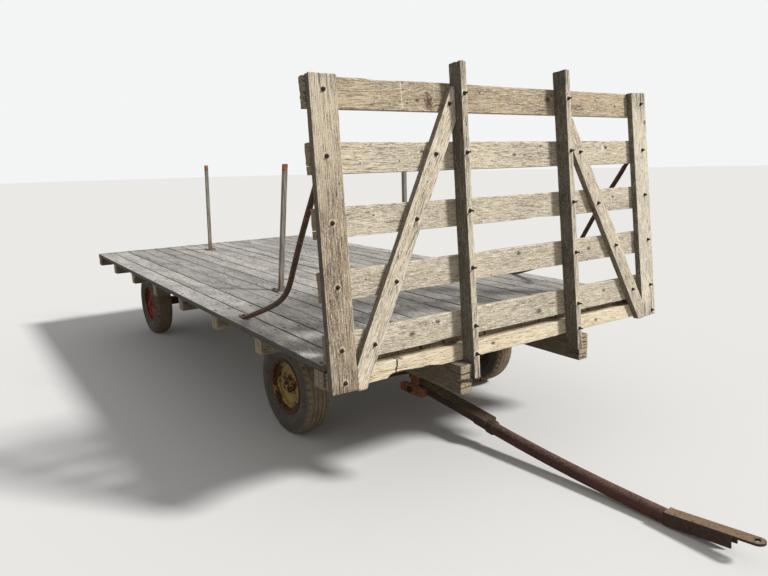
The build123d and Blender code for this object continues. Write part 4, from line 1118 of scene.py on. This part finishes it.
# braces: pipe with a hammered foot bolted to the deck and a hammered top bolted behind the second rail
brace = {"radius": 0.0150, "inset": 0.092, "flat": 0.0052, "foot": 0.11, "footEase": 0.05, "top": 0.07,
         "topEase": 0.04, "rise": 0.36, "riseFrom": 0.07, "spread": 0.42, "squash": 0.66, "behind": 0.008,
         "boltIn": 0.032, "press": 0.98, "sunk": 0.001,
         "route": ((-1.190, 0.006), (-1.130, 0.006), (-1.060, 0.026), (-0.800, 0.118), (-0.640, 0.182),
                   (-0.530, 0.262), (-0.455, 0.392), (-0.330, 0.597), (-0.205, 0.775), (-0.152, 0.862),
                   (-0.146, 0.905))}
footNut = hexNut(0.0095, 0.0070, 0.005, 0.003)
footPlaces = []
for side, word in sides.items():
    y = side * (deckHigh.y - brace["inset"])
    spots = [Vector((rackX + back, y, deckHigh.z + up)) for back, up in brace["route"]]
    pipe = alongLine("brace" + word.title(), spots, brace["radius"], 6)
    foot, top = spots[0], spots[-1]
    for point in pipe.data.vertices:
        near = share(foot.x + brace["foot"] - point.co.x, brace["footEase"])
        climb = max(0.0, point.co.x - foot.x - brace["riseFrom"]) * brace["rise"]
        middle = deckHigh.z + brace["flat"] + climb
        flat = middle + (point.co.z - middle) * brace["flat"] / brace["radius"] * brace["press"]
        point.co.z += (flat - point.co.z) * near
        point.co.y += (point.co.y - y) * brace["spread"] * near
        near = share(point.co.z - top.z + brace["top"], brace["topEase"])
        back = (point.co - top).dot(frontWay)
        point.co -= frontWay * (back * brace["squash"] - brace["behind"]) * near
        point.co.y += (point.co.y - y) * brace["spread"] * near
    roughen(pipe, 0.03, 0.0010, 1.0, 3.0 + side)
    dress(pipe, "wagon", "rusty_steel", braceSteel, "brace_" + word)
    boltSpot = (foot.x + brace["boltIn"], y, deckHigh.z + brace["flat"] * 2 - brace["sunk"])
    footPlaces.append(pointed(boltSpot, upward, 0.4))

# deck stakes: square tube of grey weathered steel with a rusty top, each on a bolted plate
stake = {"side": 0.031, "wall": 0.0032, "tall": 0.897, "steps": 6, "soft": 0.0022, "plate": 0.100,
         "thick": 0.006, "plateSoft": 0.0016, "weld": 0.0235, "bolt": 0.36, "rustTop": 0.84,
         "table": ((-1.775, -0.590, 2.0, 4.5), (-1.860, 0.600, 0.0, 0.0), (-4.330, -0.200, 0.0, 1.5))}


def stakeFinish():
    bar = Finish("stakeSteel")
    x, y, z = bar.parts(bar.place)
    fine = bar.cloud(bar.place, 60.0, 4.0, 0.65)
    streak = bar.cloud(bar.spot(x * 90, y * 90, z * 5), 1.0, 3.0, 0.6)
    topGap = z - (deckHigh.z + stake["rustTop"]) + (fine - 0.5) * 0.05
    colour = bar.mix(streak.smooth(0.35, 0.65), tone(150, 142, 130), tone(104, 97, 88))
    colour = bar.mix(fine.smooth(0.54, 0.68) * 0.45, colour, tone(118, 84, 60))
    rusty = bar.mix(fine.smooth(0.4, 0.6), tone(160, 98, 58), tone(116, 68, 42))
    colour = bar.mix(topGap.smooth(-0.008, 0.012), colour, rusty)
    colour = bar.mix((z - deckHigh.z - 0.05).smooth(0.10, 0.0) * 0.35, colour, tone(96, 66, 46))
    return bar.use(colour, 0.7 + fine * 0.2, fine + streak * 0.4, 0.0012, 0.6, 0.2)


def shapeStake(tipForward, tipLeft, seed):
    bpy.ops.mesh.primitive_plane_add(size=stake["side"])
    tube = bpy.context.object
    openMesh(tube)
    bpy.ops.mesh.inset(thickness=stake["wall"])
    bpy.ops.mesh.delete(type="FACE")
    bpy.ops.mesh.select_all(action="SELECT")
    climb = {"value": (0, 0, stake["tall"] / stake["steps"])}
    for step in range(stake["steps"]):
        bpy.ops.mesh.extrude_region_move(TRANSFORM_OT_translate=climb)
    closeMesh()
    soften(tube, stake["soft"], angle_limit=math.radians(60))
    for point in tube.data.vertices:
        point.co.x += point.co.z * math.tan(math.radians(tipForward))
        point.co.y += point.co.z * math.tan(math.radians(tipLeft))
    bpy.ops.mesh.primitive_cube_add(size=1, location=(0, 0, stake["thick"] / 2))
    plate = bpy.context.object
    plate.scale = (stake["plate"], stake["plate"], stake["thick"])
    bpy.ops.object.transform_apply(location=True, scale=True)
    soften(plate, stake["plateSoft"])
    corners = [math.pi / 4 + math.pi / 2 * corner for corner in range(5)]
    reach = stake["weld"]
    ring = [Vector((math.cos(turn) * reach, math.sin(turn) * reach, stake["thick"])) for turn in corners]
    return joined([tube, plate, weldBead(ring, 0.0030, seed, depth=0.0022)], "stake")


stakes = []
for back, left, tipForward, tipLeft in stake["table"]:
    seat = Vector((rack["place"] + back, left, deckHigh.z))
    piece = shapeStake(tipForward, tipLeft, back)
    settle(piece, Matrix.Translation(seat))
    stakes.append(piece)
    for x in (-1, 1):
        for y in (-1, 1):
            off = Vector((x, y, 0)) * stake["plate"] * stake["bolt"] + Vector((0, 0, stake["thick"]))
            footPlaces.append(pointed(seat + off, upward, x + y))
dress(joined(stakes, "deckStakes"), "wagon", "rusty_steel", stakeFinish(), "deck_stakes")
dress(copies(footNut, footPlaces, "footBolts"), "wagon", "rusty_steel", boltSteel)
bpy.data.objects.remove(footNut)

# a rusty bolt through the right middle post, across the end of its sill
cross = {"route": ((1.8962, -0.528, 0.633), (1.8966, -0.47, 0.624), (1.8964, -0.378, 0.611)),
         "radius": 0.0055, "nutAt": (1.8964, -0.3725, 0.610), "nutWay": (0, -1, 0.13)}
crossBolt = alongLine("crossBolt", cross["route"], cross["radius"], 3)
roughen(crossBolt, 0.008, 0.0012, 1.0, 2.0)
endNut = hexNut(0.0105, 0.0095, cross["radius"], 0.004)
crossNut = copies(endNut, [pointed(cross["nutAt"], cross["nutWay"], 0.3) @ flip], "crossNut")
dress(joined([crossBolt, crossNut], "crossBolt"), "wagon", "rusty_steel", boltSteel)
bpy.data.objects.remove(endNut)

# pins and nuts of the running gear and the tongue
swing, lift = jointAt["tongue_swing"], jointAt["tongue_lift"]
pinWay = jointAxis["tongue_lift"].normalized()
armReach = jointAt["tie_rod_right_turn"] - swing
rodLow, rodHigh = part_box("tie_rod_left")[0].z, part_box("tie_rod_right")[1].z
big, small = hexNut(0.0215, 0.020, 0.0155, 0.008), hexNut(0.0125, 0.011, 0.0078, 0.006)
cap = hexNut(0.020, 0.013, 0.011, 0.001, 1.1)
fitting = {"bedDown": 0.062, "bedOut": 0.0125, "pinHalf": 0.09843, "sunk": 0.012, "under": 0.001,
           "over": 0.0005}
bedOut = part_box("sill_left")[1].y + fitting["bedOut"]
beds = [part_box(node) for node in ("front_bolster", "rear_bolster")]
bedNuts = [pointed(((low.x + high.x) / 2, side * bedOut, high.z - fitting["bedDown"]), leftward * side, side)
           for low, high in beds for side in sides]


def onGear(joint, z, way, reach=Vector()):  # an upright place over or under a joint
    return pointed((jointAt[joint].x + reach.x, jointAt[joint].y + reach.y, z), way)


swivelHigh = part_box("drawbar_swivel")[1].z
hinges = [pointed(lift + pinWay * fitting["pinHalf"] * way, pinWay * way, 0.5) for way in (-1, 1)]
gearNuts = [("wagon", small, bedNuts, "bedNuts"),
            ("swivel", big, [onGear("tongue_swing", swivelHigh - fitting["sunk"], upward)], "swivelNut"),
            ("swivel", small, [onGear("tongue_swing", rodLow - fitting["under"], downward, armReach)],
             "steerNut"),
            ("swivel", cap, hinges, "hingeNuts")]
for word in sides.values():
    king = f"knuckle_{word}_turn"
    low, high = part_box(f"knuckle_{word}")
    gearNuts += [(f"knuckle_{word}", cap, [onGear(king, high.z, upward), onGear(king, low.z, downward)],
                  "kingNuts" + word.title()),
                 (f"knuckle_{word}", small, [onGear(king, rodHigh + fitting["over"], upward, armReach)],
                  "rodNut" + word.title())]
for body, model, spots, name in gearNuts:
    dress(copies(model, spots, name), body, "rusty_steel", boltSteel)
for model in (big, small, cap):
    bpy.data.objects.remove(model)

# weld beads round the tongue's collar and along the sides of its channel
seam = {"slope": 7.0, "collarAt": 0.6895, "collar": 0.038625, "radius": 0.0036, "start": 0.648,
        "aside": 0.030, "up": 0.0300, "lift": 0.003, "middle": 0.020, "long": 0.036}
sideWay = -pinWay if pinWay.y < 0 else pinWay
levelWay = Vector((sideWay.y, -sideWay.x, 0)).normalized()
seamSlope = math.radians(seam["slope"])
tongueWay = levelWay * math.cos(seamSlope) + Vector((0, 0, -math.sin(seamSlope)))
tongueUp = tongueWay.cross(sideWay).normalized()
collarAt, turns = lift + tongueWay * seam["collarAt"], [math.pi / 4 * count for count in range(9)]
ring = [collarAt + (sideWay * math.cos(turn) + tongueUp * math.sin(turn)) * seam["collar"] for turn in turns]
beads = [weldBead(ring, seam["radius"], 5.0)]
for side in sides:
    start = lift + tongueWay * seam["start"] + sideWay * side * seam["aside"] + tongueUp * seam["up"]
    spots = [start, start + tongueWay * seam["middle"] + tongueUp * seam["lift"],
             start + tongueWay * seam["long"]]
    beads.append(weldBead(spots, seam["radius"], 5.0))
dress(joined(beads, "tongueWelds"), "tongue", "rusty_steel", pipeSteel)
print("braces, stakes and fittings made")

print("all pieces made")
